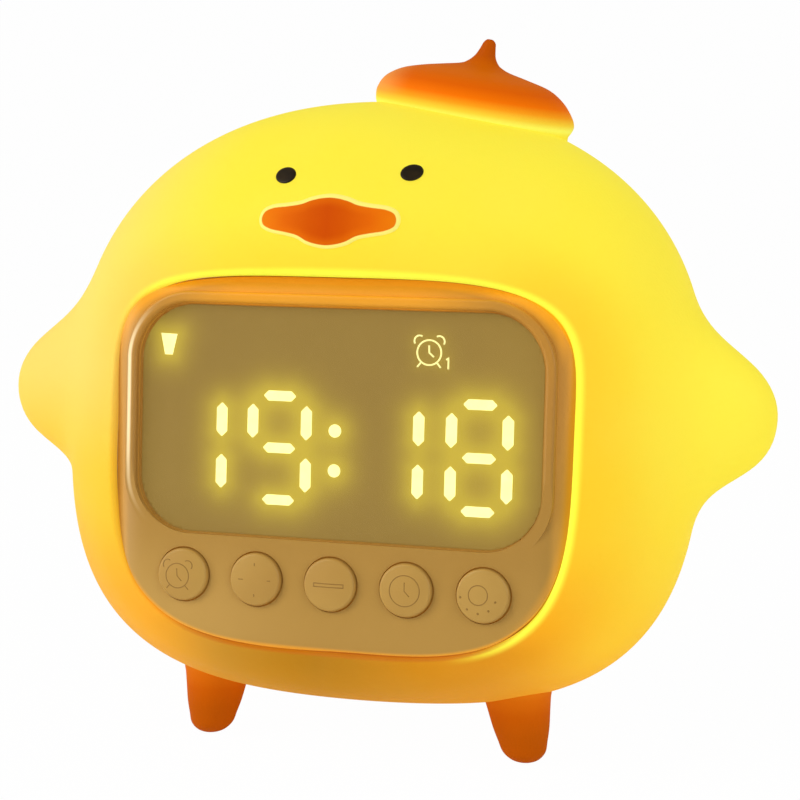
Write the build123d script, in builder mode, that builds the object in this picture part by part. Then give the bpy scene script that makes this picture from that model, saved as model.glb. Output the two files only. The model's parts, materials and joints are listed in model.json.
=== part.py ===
"""Duckling night-light alarm clock: a silicone skin over a lamp shell, with a display and five buttons.

Frame: millimetres, +Z up, the face looks along -Y, and the origin is on the table under the middle.
"""
from build123d import *
import os
from math import cos, pi, radians, sin, tan

os.makedirs("parts", exist_ok=True)

# ---------------------------------------------------------------- body form
body_half_width = 60.2
body_half_depth = 37.7
body_rise = 52.5  # centre to crown, along the leaning axis
body_drop = 57.9  # centre to underside, along the leaning axis
crown_fullness = 2.24  # exponent of the crown's squircle section
base_fullness = 3.13  # exponent of the underside's squircle section
body_lean = 11.0  # degrees, backwards
body_centre_y = -2.6
body_centre_z = 66.0
profile_steps = 5  # points on each quarter of a squircle

skin_thickness = 2.5
skin_gap = 0.3  # between the skin and the shell under it
shell_wall = 1.8
seat_gap = 0.2  # between two moulded pieces that seat on each other

# ---------------------------------------------------------------- wings
wing_tip_x = 73.6
wing_root_x = 46.0
wing_y = -5.0
wing_z = 65.4
wing_half_height = 15.5
wing_half_depth = 10.0
wing_droop = 8.0  # degrees below level
wing_fullness = 2.2
wing_blend = 5.0

# ---------------------------------------------------------------- beret
beret_x = 15.1
beret_y = 7.0
beret_z = 116.2
beret_tilt = 9.0  # degrees, down towards +X
beret_half_width = 18.8
beret_half_depth = 15.2
beret_height = 8.8
beret_skirt = 9.0
beret_taper = 6.0  # degrees, the skirt's walls come in as they go down
beret_step = 0.1  # the skirt stands this far inside the cap's edge
beret_fullness = 2.6
stem_root_radius = 3.0
stem_sink = 1.0  # the stem starts this far inside the cap
stem_radius = 2.1
stem_height = 5.0
stem_tip_radius = 1.0
stem_tip_round = 0.9
stem_lean = 0.7  # how far the tip stands to the side

# ---------------------------------------------------------------- beak and eyes
beak_half_width = 12.7
beak_x = -1.2
beak_z = 98.2
beak_rise = 4.4
beak_drop = 4.8
beak_end_radius = 2.4
beak_rise_share = 0.74  # of the full height, half way out
beak_drop_share = 0.66
beak_proud = 0.8
beak_depth = 1.2
eye_spacing = 22.7
eye_middle = 0.8  # of the pair, to the side
eye_z = 105.9
eye_width = 3.6
eye_height = 2.6
eye_proud = 0.4
eye_depth = 1.0

# ---------------------------------------------------------------- feet
front_foot_x = 30.4
front_foot_y = -14.8
rear_foot_x = 23.5
rear_foot_y = 15.5
foot_top_radius = 9.0
foot_tip_radius = 4.8
foot_toe_flat = 1.6
foot_top_z = 22.0
peg_radius = 2.5
peg_rise = 8.0  # how far a foot's peg is drawn above its foot

# ---------------------------------------------------------------- face panel
panel_lean = 5.0  # degrees, backwards
panel_y = -30.9  # of the display's middle, on the panel's face
panel_z = 58.1
facet_stand = 2.3  # the skin's flat stands this far out over the panel's middle
facet_lean = 3.0  # degrees, top towards the back
panel_half_width = 42.0
panel_middle = 6.0  # height of the widest line above the display's middle
panel_rise = 24.1
panel_drop = 41.1
panel_top_fullness = 4.1
panel_base_fullness = 3.65
panel_gap = 0.2
panel_plate = 3.0
panel_wall = 1.6
panel_depth = 14.0
border_flat = 36.0  # half width of the flat part of the face
border_fall = 2.4  # the face falls back by this at its sides
top_flat = 26.0
top_fall = 1.4
slab_overrun = 0.9  # the cutting forms reach this far past the edge

window_half_width = 37.0
window_top = 25.0
window_base = -15.8
window_corner = 10.0
window_thickness = 1.0
window_sink = 0.6
window_gap = 0.15
ridge_gap = 0.3
ridge_width = 2.0
ridge_height = 0.8
ridge_edge = 0.7
ridge_fade_top = -3.0
ridge_fade_base = -16.0
ridge_undercut = 0.1

# ---------------------------------------------------------------- display
module_half_width = 33.0
module_top = 21.0
module_base = -13.0
module_thickness = 8.0
module_corner = 2.5
module_gap = 0.5
module_behind = 0.3  # between the module and the window
digit_centres = (-26.1, -10.25, 10.25, 26.1)
digit_half_width = 5.0
digit_half_height = 9.2
bar_length = 6.05
bar_width = 1.8
post_length = 6.1
post_width = 2.0
segment_depth = 1.2
segment_fit = 0.05
colon_radius = 1.15
colon_rise = 3.5
level_bar_x = -31.0
level_bar_y = 17.6
level_bar_top = 3.0
level_bar_slope = 80.0
level_bar_height = 4.0
clock_icon_x = 16.9
clock_icon_y = 17.8
clock_icon_radius = 2.3
clock_icon_line = 0.4

# ---------------------------------------------------------------- buttons and switches
button_names = ("alarm", "plus", "minus", "clock", "light")
button_pitch = 13.8
button_v = -23.3
button_radius = 4.7
button_gap = 0.25
button_stand = 1.4
button_rim_stand = 0.9
flange_radius = 6.0
flange_thickness = 1.0
stem_length = 1.5
button_stem_radius = 1.5
plunger_radius = 1.7
plunger_fit = 0.05
plunger_stand = 1.2
plunger_sunk = 1.2
switch_side = 6.0
switch_height = 3.5
switch_bore_depth = 2.4
board_thickness = 1.6
key_board_top = -17.0
key_board_base = -32.6
key_board_half_width = 34.5
key_board_inset = 0.5

# ---------------------------------------------------------------- fixings
boss_radius = 2.3
screw_radius = 1.0
screw_fit = 0.05
screw_hole_gap = 0.25
head_radius = 1.9
head_height = 1.3
head_slot = 0.5
panel_boss_places = ((-37.0, 17.0), (37.0, 17.0), (-37.0, -11.0), (37.0, -11.0))
key_boss_places = ((-20.7, -29.9), (-6.9, -29.9), (6.9, -29.9), (20.7, -29.9))
screw_bite = 5.0
screw_run_out = 0.6  # hole past the screw's tip

# ---------------------------------------------------------------- shells
split_y = 2.0
frame_plate = 2.0
frame_window_half_width = 31.0
frame_window_top = 21.5
frame_window_base = -21.5
shell_post_radius = 4.0
shell_post_places = ((-49.6, 44.0), (49.6, 44.0), (-50.0, 84.0), (50.0, 84.0))
shell_post_length = 9.0
shell_screw_grip = 4.0

# ---------------------------------------------------------------- main board
board_standoff = 4.0
main_board_half_width = 38.0
main_board_top = 26.0
main_board_base = -20.6
main_screw_places = ((-35.0, 23.5), (35.0, 23.5), (-35.0, -18.0), (35.0, -18.0))
pin_side = 0.6
pin_hole_radius = 0.5
pin_pitch = 2.54
pin_rows = (-10.5, 18.5)
pins_per_row = 10
pin_tail = 1.0
header_v = -19.0
header_pin_count = 6
chip_side = 10.0
chip_height = 1.4
driver_length = 14.0
driver_width = 5.4
crystal_length = 11.0
crystal_height = 3.6
crystal_width = 4.6
capacitor_radius = 2.6
capacitor_height = 6.0
socket_width = 6.0
socket_depth = 4.4
socket_height = 5.0
main_chip_place = (0.0, 4.0)
driver_place = (-20.0, -4.0)
crystal_place = (17.0, 4.0)
capacitor_places = ((-28.0, 12.0), (-20.0, 12.0), (24.0, 14.0))
battery_socket = (28.0, -6.0)
speaker_socket = (-30.0, 0.0)
lamp_socket = (16.0, 22.5)
charge_socket = (-20.0, -15.0)
socket_places = (battery_socket, speaker_socket, lamp_socket, charge_socket)

# ---------------------------------------------------------------- lamp
lamp_z = 95.0
lamp_y = 7.0
lamp_radius = 17.0
lamp_board_thickness = 1.6
led_count = 8
led_ring_radius = 12.0
led_length = 3.5
led_width = 2.8
led_height = 1.9
bracket_plate = 2.0
bracket_half_width = 11.0
bracket_leg_top = 37.5
bracket_leg_base = 27.5
bracket_reach_y = 20.0
lamp_screw_places = ((-6.0, 7.0), (6.0, 7.0))

# ---------------------------------------------------------------- battery
cell_radius = 7.0
cell_length = 50.0
cell_gap = 0.3
cell_v = -30.0
cell_cap_radius = 3.0
cell_cap_height = 0.8
cradle_wall = 1.4
cradle_half_length = 22.0
cradle_wrap = 3.0

# ---------------------------------------------------------------- back cover, speaker and charging port
cover_half_width = 28.0
cover_half_height = 26.0
cover_z = 68.0
cover_corner = 10.0
cover_sink = 0.6
cover_wall = 1.9
cover_gap = 0.2
cover_ledge = 3.5
cover_screw_x = 22.5
cover_screw_z = 20.5
cover_post_length = 9.0
cover_post_radius = 3.2
cover_post_wall = 1.6
cover_seat_y = 25.5
cover_screw_grip = 1.6
speaker_z = 72.0
speaker_radius = 16.0
speaker_face_y = 22.0
speaker_flange = 2.0
speaker_flange_width = 2.2
speaker_basket_depth = 5.0
speaker_basket_radius = 10.0
speaker_wall = 1.0
speaker_ring_wall = 1.6
speaker_gap = 0.2
speaker_ledge_depth = 1.2
magnet_radius = 9.0
magnet_height = 4.5
cone_thickness = 0.6
cone_depth = 3.6
cap_radius = 4.0
cap_rise = 1.2
magnet_round = 0.4
grille_hole_radius = 1.0
grille_rings = ((4.2, 6), (8.4, 12), (12.4, 18))
port_z = 49.5
port_width = 9.0
port_height = 3.2
port_length = 7.4
port_wall = 0.4
port_gap = 0.25
port_mouth_y = 31.2
port_tongue = 0.7
charge_board_width = 20.0
charge_board_front_y = 14.0
charge_board_back_y = 28.6
charge_board_thickness = 1.2
rail_x = 7.0
rail_width = 2.0
rail_set_back = 1.0
rail_top_z = port_z - port_height / 2 - charge_board_thickness
rail_base_z = cover_z - cover_half_height + cover_ledge + seat_gap
charge_chip_side = 4.0
reset_hole_x = 13.0
reset_hole_radius = 0.9

# ---------------------------------------------------------------- leads
lead_diameter = 1.5
lead_bend_share = 0.45
lead_standoff = 0.5

# ================================================================ frames
body_plane = Plane(
    origin=(0, body_centre_y, body_centre_z),
    x_dir=(1, 0, 0),
    z_dir=(0, sin(radians(body_lean)), cos(radians(body_lean))),
)
panel_plane = Plane(
    origin=(0, panel_y, panel_z),
    x_dir=(1, 0, 0),
    z_dir=(0, -cos(radians(panel_lean)), sin(radians(panel_lean))),
)
facet_plane = Plane(
    origin=panel_plane.offset(facet_stand).origin,
    x_dir=(1, 0, 0),
    z_dir=(0, -cos(radians(facet_lean)), sin(radians(facet_lean))),
)
front_view = Plane(origin=(0, 0, 0), x_dir=(1, 0, 0), z_dir=(0, -1, 0))
back_view = Plane(origin=(0, 0, 0), x_dir=(-1, 0, 0), z_dir=(0, 1, 0))
split_plane = Plane(origin=(0, split_y, 0), x_dir=(-1, 0, 0), z_dir=(0, 1, 0))
far = 200.0  # longer than the object


def on_panel(u, v, n):
    """Row coordinates of a point given across, up and out of the panel's face."""
    return tuple(panel_plane.from_local_coords(Vector(u, v, n)))


def quarter(half, height, fullness, steps):
    """Points of one quarter of a squircle, from its side to its top."""
    turns = [pi / 2 * step / steps for step in range(steps)]
    points = [(half * cos(a) ** (2 / fullness), height * sin(a) ** (2 / fullness)) for a in turns]
    return points + [(0, height)]


def half_face(right_side):
    """The right half of the closed curve through points from its foot to its crown, mirrored on Y."""
    left_side = [(-r, w) for r, w in reversed(right_side[1:-1])]
    with BuildSketch() as face:
        with BuildLine():
            Spline(*right_side, *left_side, periodic=True)
        make_face()
        Rectangle(far, 2 * far, align=(Align.MIN, Align.CENTER), mode=Mode.INTERSECT)
    return face.sketch


def rounded_form(right_side, flattening):
    """A half outline turned about +Z and flattened along Y, made of four equal quarters."""
    with BuildPart() as form:
        with BuildSketch(Plane.XZ):
            add(half_face(right_side))
        revolve(axis=Axis.Z, revolution_arc=90)
        scale(by=(1, flattening, 1))
        mirror(about=Plane.XZ)
        mirror(about=Plane.YZ)
    return form.part


def dome(inset):
    """The body's rounded form, drawn in all round by inset."""
    half_width = body_half_width - inset
    half_depth = body_half_depth - inset
    crown = quarter(half_width, body_rise - inset, crown_fullness, profile_steps)
    base = quarter(half_width, body_drop - inset, base_fullness, profile_steps)
    outline = [(r, -w) for r, w in reversed(base)] + crown[1:]
    return body_plane.location * rounded_form(outline, half_depth / half_width)


def flattened(inset):
    """The body's form with the flat for the face panel, drawn in all round by inset."""
    with BuildPart() as form:
        add(dome(inset))
        split(bisect_by=facet_plane.offset(-inset), keep=Keep.BOTTOM)
    return form.part


def panel_outline(inset):
    """Closed points of the panel's outline, drawn in all round by inset."""
    half = panel_half_width - inset
    top = quarter(half, panel_rise - inset, panel_top_fullness, profile_steps)
    base = quarter(half, panel_drop - inset, panel_base_fullness, profile_steps)
    right = [(u, panel_middle - v) for u, v in reversed(base)] + [(u, panel_middle + v) for u, v in top[1:]]
    left = [(-u, v) for u, v in reversed(right)]
    return right + left[1:-1]


def panel_prism(inset, low, high):
    """The panel's outline as a prism between two heights over the panel's face."""
    with BuildPart() as prism:
        with BuildSketch(panel_plane.offset(low)):
            with BuildLine():
                Spline(*panel_outline(inset), periodic=True)
            make_face()
        extrude(amount=high - low)
    return prism.part


def window_prism(grow, low, high):
    """The display window's outline, grown all round, as a prism."""
    middle = (window_top + window_base) / 2
    with BuildPart() as prism:
        with BuildSketch(panel_plane.offset(low)):
            with Locations((0, middle)):
                RectangleRounded(
                    2 * (window_half_width + grow),
                    window_top - window_base + 2 * grow,
                    window_corner + grow,
                )
        extrude(amount=high - low)
    return prism.part


def wing_lobe(side):
    """A flattened lobe whose tip points sideways and a little down."""
    length = wing_tip_x - wing_root_x
    droop = radians(wing_droop)
    tip = quarter(wing_half_height, length, wing_fullness, profile_steps)
    outline = [(r, -w) for r, w in reversed(tip)] + tip[1:]
    frame = Plane(
        origin=(side * wing_root_x, wing_y, wing_z),
        x_dir=(side * sin(droop), 0, cos(droop)),
        z_dir=(side * cos(droop), 0, -sin(droop)),
    )
    return frame.location * rounded_form(outline, wing_half_depth / wing_half_height)


def screws(plane, places, length):
    """Pan-head screws whose heads seat on the plane and whose shanks run down from it."""
    with BuildPart(plane) as group:
        with Locations(*places):
            Cylinder(head_radius, head_height, align=(Align.CENTER, Align.CENTER, Align.MIN))
            Cylinder(screw_radius, length, align=(Align.CENTER, Align.CENTER, Align.MAX))
        with Locations(*[(x, y, head_height) for x, y in places]):
            for turn in (0, 90):
                Box(
                    2 * head_radius - head_slot,
                    head_slot,
                    head_slot,
                    rotation=(0, 0, turn),
                    align=(Align.CENTER, Align.CENTER, Align.MAX),
                    mode=Mode.SUBTRACT,
                )
    return group


def lead(points):
    """A lead along straight runs joined by arcs as large as the runs allow."""
    radii = []
    for before, corner, after in zip(points, points[1:], points[2:]):
        run_in = Vector(*corner) - Vector(*before)
        run_out = Vector(*after) - Vector(*corner)
        half_turn = radians(run_in.get_angle(run_out)) / 2
        radii.append(lead_bend_share * min(run_in.length, run_out.length) / tan(half_turn))
    print("lead bends", [round(radius, 1) for radius in radii])
    with BuildPart() as cable:
        with BuildLine() as route:
            FilletPolyline(*points, radius=radii)
        with BuildSketch(Plane(origin=route.line @ 0, z_dir=route.line % 0)):
            Circle(lead_diameter / 2)
        sweep()
    return cable


# ================================================================ skin and what is moulded on it
body_form = flattened(0)
skin_cavity = flattened(skin_thickness)
shell_form = flattened(skin_thickness + skin_gap)
shell_cavity = flattened(skin_thickness + skin_gap + shell_wall)
wing_lobes = [wing_lobe(side) for side in (-1, 1)]
opening = panel_prism(-panel_gap, -panel_depth, far)
foot_places = (
    (-front_foot_x, front_foot_y),
    (front_foot_x, front_foot_y),
    (-rear_foot_x, rear_foot_y),
    (rear_foot_x, rear_foot_y),
)


beak_view = Plane(origin=(beak_x, 0, beak_z), x_dir=(1, 0, 0), z_dir=(0, -1, 0))


def beak_prism(grow):
    """The beak's outline, a wavy diamond, as a prism towards the front."""
    wide = beak_half_width - beak_end_radius
    with BuildPart() as prism:
        with BuildSketch(beak_view):
            with BuildLine():
                Spline(
                    (-beak_half_width - grow, 0),
                    (-wide, beak_end_radius + grow),
                    (-wide / 2, beak_rise * beak_rise_share + grow),
                    (0, beak_rise + grow),
                    (wide / 2, beak_rise * beak_rise_share + grow),
                    (wide, beak_end_radius + grow),
                    (beak_half_width + grow, 0),
                    (wide, -beak_end_radius - grow),
                    (wide / 2, -beak_drop * beak_drop_share - grow),
                    (0, -beak_drop - grow),
                    (-wide / 2, -beak_drop * beak_drop_share - grow),
                    (-wide, -beak_end_radius - grow),
                    periodic=True,
                )
            make_face()
        extrude(amount=far)
    return prism.part


def eye_prism(side, grow):
    """One eye's ellipse as a prism towards the front."""
    with BuildPart() as prism:
        with BuildSketch(front_view):
            with Locations((eye_middle + side * eye_spacing / 2, eye_z)):
                Ellipse(eye_width / 2 + grow, eye_height / 2 + grow)
        extrude(amount=far)
    return prism.part


def cover_prism(inset):
    """The back cover's rounded outline as a prism towards the back."""
    with BuildPart() as prism:
        with BuildSketch(back_view):
            with Locations((0, cover_z)):
                RectangleRounded(
                    2 * (cover_half_width - inset), 2 * (cover_half_height - inset), cover_corner - inset
                )
        extrude(amount=far)
    return prism.part


beak_pocket = beak_prism(seat_gap)
beak_blank = beak_prism(0)
beak_seat = flattened(beak_depth + seat_gap)
beak_face = flattened(-beak_proud)
beak_back = flattened(beak_depth)
eye_pockets = [eye_prism(side, seat_gap) for side in (-1, 1)]
eye_seat = dome(eye_depth + seat_gap)
eye_face = dome(-eye_proud)
eye_back = dome(eye_depth)

with BuildPart() as face_pockets:
    add(beak_pocket)
    add(beak_seat, mode=Mode.SUBTRACT)

with BuildPart() as eye_sockets:
    add(eye_pockets)
    add(eye_seat, mode=Mode.SUBTRACT)

with BuildPart() as body_skin:
    add(body_form)
    body_edges = body_skin.edges()
    add(wing_lobes)
    wing_roots = [
        edge
        for edge in body_skin.edges() - body_edges
        if all(wing_root_x < abs(end.X) < body_half_width + wing_blend for end in edge.vertices())
    ]
    fillet(wing_roots, wing_blend)
    with Locations(*foot_places):
        Cylinder(
            peg_radius + seat_gap,
            foot_top_z + peg_rise,
            align=(Align.CENTER, Align.CENTER, Align.MIN),
            mode=Mode.SUBTRACT,
        )
    add(skin_cavity, mode=Mode.SUBTRACT)
    add(opening, mode=Mode.SUBTRACT)
    add(cover_prism(-cover_gap), mode=Mode.SUBTRACT)
    add(face_pockets.part, mode=Mode.SUBTRACT)
    add(eye_sockets.part, mode=Mode.SUBTRACT)

with BuildPart() as beak:
    add(beak_blank)
    add(beak_face, mode=Mode.INTERSECT)
    add(beak_back, mode=Mode.SUBTRACT)


def make_eye(side):
    blank = eye_prism(side, 0)
    with BuildPart() as eye:
        add(blank)
        add(eye_face, mode=Mode.INTERSECT)
        add(eye_back, mode=Mode.SUBTRACT)
    return eye


left_eye = make_eye(-1)
right_eye = make_eye(1)

# The beret's cap is a squircle dome; its skirt runs down to the crown and is cut to the crown's form.
beret_plane = Plane(
    origin=(beret_x, beret_y, beret_z),
    x_dir=(cos(radians(beret_tilt)), 0, -sin(radians(beret_tilt))),
    z_dir=(sin(radians(beret_tilt)), 0, cos(radians(beret_tilt))),
)
crown_clearance = dome(-seat_gap)
beret_section = quarter(beret_half_width, beret_height, beret_fullness, profile_steps)
beret_outline = [(r, -h) for r, h in reversed(beret_section)] + beret_section[1:]

with BuildPart() as beret:
    add(beret_plane.location * rounded_form(beret_outline, beret_half_depth / beret_half_width))
    split(bisect_by=beret_plane, keep=Keep.TOP)
    with BuildSketch(beret_plane):
        Ellipse(beret_half_width - beret_step, beret_half_depth - beret_step)
    extrude(amount=-beret_skirt, taper=beret_taper)
    with BuildSketch(beret_plane.offset(beret_height - stem_sink)):
        Circle(stem_root_radius)
    with BuildSketch(beret_plane.offset(beret_height + stem_height / 2)):
        with Locations((stem_lean / 2, 0)):
            Circle((stem_radius + stem_tip_radius) / 2)
    with BuildSketch(beret_plane.offset(beret_height + stem_height)):
        with Locations((stem_lean, 0)):
            Circle(stem_tip_radius)
    loft()
    fillet(beret.faces().sort_by(Axis.Z)[-1].edges(), stem_tip_round)
    add(crown_clearance, mode=Mode.SUBTRACT)


def make_foot(place):
    """A tapered stub foot with a peg that goes through the skin and the shell."""
    with BuildPart() as foot:
        with BuildSketch(Plane.XZ.offset(-place[1])):
            with BuildLine():
                Polyline((place[0], 0), (place[0] + foot_toe_flat, 0))
                TangentArc(
                    (place[0] + foot_toe_flat, 0),
                    (place[0] + foot_tip_radius, foot_tip_radius - foot_toe_flat),
                    tangent=(1, 0),
                )
                Polyline(
                    (place[0] + foot_tip_radius, foot_tip_radius - foot_toe_flat),
                    (place[0] + foot_top_radius, foot_top_z),
                    (place[0], foot_top_z),
                    (place[0], 0),
                )
            make_face()
        revolve(axis=Axis((place[0], place[1], 0), (0, 0, 1)))
        add(crown_clearance, mode=Mode.SUBTRACT)
        with Locations((*place, foot_tip_radius)):
            Cylinder(peg_radius, foot_top_z + peg_rise, align=(Align.CENTER, Align.CENTER, Align.MIN))
        add(shell_cavity, mode=Mode.SUBTRACT)
    return foot


front_left_foot, front_right_foot, rear_left_foot, rear_right_foot = [make_foot(p) for p in foot_places]

# ================================================================ face panel
module_middle = (module_top + module_base) / 2
button_centres = [((index - 2) * button_pitch, button_v) for index in range(len(button_names))]
window_back = -window_sink - window_thickness
flange_back = -panel_plate - flange_thickness
stem_end = flange_back - stem_length
switch_top = stem_end - plunger_stand
key_board_face = switch_top - switch_height
key_board_back = key_board_face - board_thickness
frame_face = -panel_depth
frame_back = frame_face - frame_plate
main_board_face = frame_back - board_standoff
main_board_back = main_board_face - board_thickness
across_panel = Plane(origin=panel_plane.origin, x_dir=(-1, 0, 0), z_dir=panel_plane.y_dir)
along_panel = Plane(origin=panel_plane.origin, x_dir=panel_plane.y_dir, z_dir=(1, 0, 0))


def arc_end(flat, half, fall):
    """A point just past the edge on the arc that leaves the flat face and falls back at the edge."""
    run = half - flat
    radius = (run**2 + fall**2) / (2 * fall)
    reach = run + slab_overrun
    return (flat + reach, (radius**2 - reach**2) ** 0.5 - radius)


side_end = arc_end(border_flat, panel_half_width, border_fall)
top_end = arc_end(top_flat, panel_middle + panel_rise, top_fall)

with BuildPart() as side_slab:
    with BuildSketch(across_panel):
        with BuildLine():
            Line((-border_flat, 0), (border_flat, 0))
            TangentArc((border_flat, 0), side_end, tangent=(1, 0))
            Polyline(side_end, (side_end[0], -far), (-side_end[0], -far), (-side_end[0], side_end[1]))
            TangentArc((-border_flat, 0), (-side_end[0], side_end[1]), tangent=(-1, 0))
        make_face()
    extrude(amount=far, both=True)

with BuildPart() as top_slab:
    with BuildSketch(along_panel):
        with BuildLine():
            Line((-far, 0), (top_flat, 0))
            TangentArc((top_flat, 0), top_end, tangent=(1, 0))
            Polyline(top_end, (top_end[0], -far), (-far, -far), (-far, 0))
        make_face()
    extrude(amount=far, both=True)

with BuildPart() as ridge:
    add(window_prism(ridge_gap + ridge_width, -panel_plate / 2, ridge_height))
    add(window_prism(ridge_gap, -panel_plate, far), mode=Mode.SUBTRACT)
    ridge_crest = ridge.faces().sort_by(Axis(panel_plane.origin, panel_plane.z_dir))[-1]
    fillet(ridge_crest.edges(), ridge_edge)
    with BuildSketch(along_panel):
        with BuildLine():
            Polyline(
                (ridge_fade_top, ridge_height),
                (ridge_fade_base, -ridge_undercut),
                (-far, -ridge_undercut),
                (-far, far),
                (ridge_fade_top, far),
                (ridge_fade_top, ridge_height),
            )
        make_face()
    extrude(amount=far, both=True, mode=Mode.SUBTRACT)

with BuildPart() as front_panel:
    add(panel_prism(0, -panel_depth, slab_overrun))
    add(side_slab.part, mode=Mode.INTERSECT)
    add(top_slab.part, mode=Mode.INTERSECT)
    add(panel_prism(panel_wall, -panel_depth, -panel_plate), mode=Mode.SUBTRACT)
    add(ridge.part)
    add(window_prism(window_gap, window_back, far), mode=Mode.SUBTRACT)
    with Locations(panel_plane), Locations((0, module_middle, -panel_plate)):
        Box(
            2 * (module_half_width + module_gap),
            module_top - module_base + 2 * module_gap,
            far,
            align=(Align.CENTER, Align.CENTER, Align.MIN),
            mode=Mode.SUBTRACT,
        )
    with Locations(panel_plane), Locations(*[(u, v, -panel_plate) for u, v in button_centres]):
        Cylinder(
            button_radius + button_gap,
            far,
            align=(Align.CENTER, Align.CENTER, Align.MIN),
            mode=Mode.SUBTRACT,
        )
    with Locations(panel_plane), Locations(*[(u, v, -panel_plate) for u, v in panel_boss_places]):
        Cylinder(boss_radius, panel_depth - panel_plate, align=(Align.CENTER, Align.CENTER, Align.MAX))
    with Locations(panel_plane), Locations(*[(u, v, -panel_plate) for u, v in key_boss_places]):
        Cylinder(
            boss_radius,
            -panel_plate - key_board_face,
            align=(Align.CENTER, Align.CENTER, Align.MAX),
        )
    with Locations(panel_plane), Locations(
        *[(u, v, -panel_depth) for u, v in panel_boss_places],
        *[(u, v, key_board_face) for u, v in key_boss_places],
    ):
        Cylinder(
            screw_radius + screw_fit,
            screw_bite + screw_run_out,
            align=(Align.CENTER, Align.CENTER, Align.MIN),
            mode=Mode.SUBTRACT,
        )

with BuildPart() as display_window:
    add(window_prism(0, window_back, -window_sink))


# ================================================================ display module and its digits
def pointed_bar(length, width, turn):
    """A bar with pointed ends, centred on the current location."""
    half = length / 2
    side = width / 2
    return Polygon(
        (-half, 0),
        (side - half, side),
        (half - side, side),
        (half, 0),
        (half - side, -side),
        (side - half, -side),
        rotation=turn,
    )


def segments(plane, grow):
    """All light openings of the display on a plane: seven bars a digit, the colon and the icons."""
    with BuildSketch(plane) as lights:
        for centre in digit_centres:
            for level in (-digit_half_height, 0, digit_half_height):
                with Locations((centre, level)):
                    pointed_bar(bar_length + 2 * grow, bar_width + 2 * grow, 0)
            for side in (-1, 1):
                for half in (-1, 1):
                    with Locations((centre + side * digit_half_width, half * digit_half_height / 2)):
                        pointed_bar(post_length + 2 * grow, post_width + 2 * grow, 90)
        with Locations((0, -colon_rise), (0, colon_rise)):
            Circle(colon_radius + grow)
        with Locations((level_bar_x, level_bar_y)):
            Trapezoid(
                level_bar_top + 2 * grow,
                level_bar_height + 2 * grow,
                level_bar_slope,
                rotation=180,
            )
        with Locations((clock_icon_x, clock_icon_y)):
            Circle(clock_icon_radius + clock_icon_line / 2 + grow)
            Circle(clock_icon_radius - clock_icon_line / 2 - grow, mode=Mode.SUBTRACT)
    return lights.sketch


module_face = window_back - module_behind
module_back = module_face - module_thickness
with BuildPart(panel_plane) as display_module:
    with Locations((0, module_middle, module_face)):
        Box(
            2 * module_half_width,
            module_top - module_base,
            module_thickness,
            align=(Align.CENTER, Align.CENTER, Align.MAX),
        )
    fillet(display_module.edges().filter_by(Axis(panel_plane.origin, panel_plane.z_dir)), module_corner)
    lights = segments(panel_plane.offset(module_face), segment_fit)
    extrude(lights, amount=-segment_depth, mode=Mode.SUBTRACT)

with BuildPart() as digit_lenses:
    extrude(segments(panel_plane.offset(module_face), 0), amount=-segment_depth)

pin_places = [
    ((index - (pins_per_row - 1) / 2) * pin_pitch, row) for row in pin_rows for index in range(pins_per_row)
]
header_places = [
    ((index - (header_pin_count - 1) / 2) * pin_pitch, header_v) for index in range(header_pin_count)
]


def pins(places, top):
    """Square pins from a height down through the main board."""
    with BuildPart(panel_plane) as group:
        with Locations(*[(u, v, main_board_back - pin_tail) for u, v in places]):
            Box(
                pin_side,
                pin_side,
                top - main_board_back + pin_tail,
                align=(Align.CENTER, Align.CENTER, Align.MIN),
            )
    return group


display_pins = pins(pin_places, module_back)
key_header_pins = pins(header_places, key_board_back)


# ================================================================ buttons and their switches
def make_button(centre):
    """A domed cap with a flange behind the panel and a stem on the switch plunger."""
    section = Plane(
        origin=panel_plane.from_local_coords(Vector(centre[0], centre[1], 0)),
        x_dir=(1, 0, 0),
        z_dir=-panel_plane.y_dir,
    )
    with BuildPart() as button:
        with BuildSketch(section):
            with BuildLine():
                Polyline(
                    (0, button_stand),
                    (0, stem_end),
                    (button_stem_radius, stem_end),
                    (button_stem_radius, flange_back),
                    (flange_radius, flange_back),
                    (flange_radius, -panel_plate),
                    (button_radius, -panel_plate),
                    (button_radius, button_rim_stand),
                )
                RadiusArc((button_radius, button_rim_stand), (0, button_stand), -dome_radius)
            make_face()
        revolve(axis=Axis(section.origin, panel_plane.z_dir))
    return button


dome_sag = button_stand - button_rim_stand
dome_radius = (button_radius**2 + dome_sag**2) / (2 * dome_sag)
buttons = {name: make_button(centre) for name, centre in zip(button_names, button_centres)}


def make_plunger(centre):
    """The switch's own plunger, sunk into its housing and met by the button's stem."""
    with BuildPart(panel_plane) as plunger:
        with Locations((*centre, stem_end)):
            Cylinder(
                plunger_radius,
                plunger_stand + plunger_sunk,
                align=(Align.CENTER, Align.CENTER, Align.MAX),
            )
    return plunger


plungers = {name: make_plunger(centre) for name, centre in zip(button_names, button_centres)}

with BuildPart(panel_plane) as switch_housings:
    with Locations(*[(*centre, key_board_face) for centre in button_centres]):
        Box(switch_side, switch_side, switch_height, align=(Align.CENTER, Align.CENTER, Align.MIN))
    with Locations(*[(*centre, switch_top) for centre in button_centres]):
        Cylinder(
            plunger_radius + plunger_fit,
            switch_bore_depth,
            align=(Align.CENTER, Align.CENTER, Align.MAX),
            mode=Mode.SUBTRACT,
        )

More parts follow.
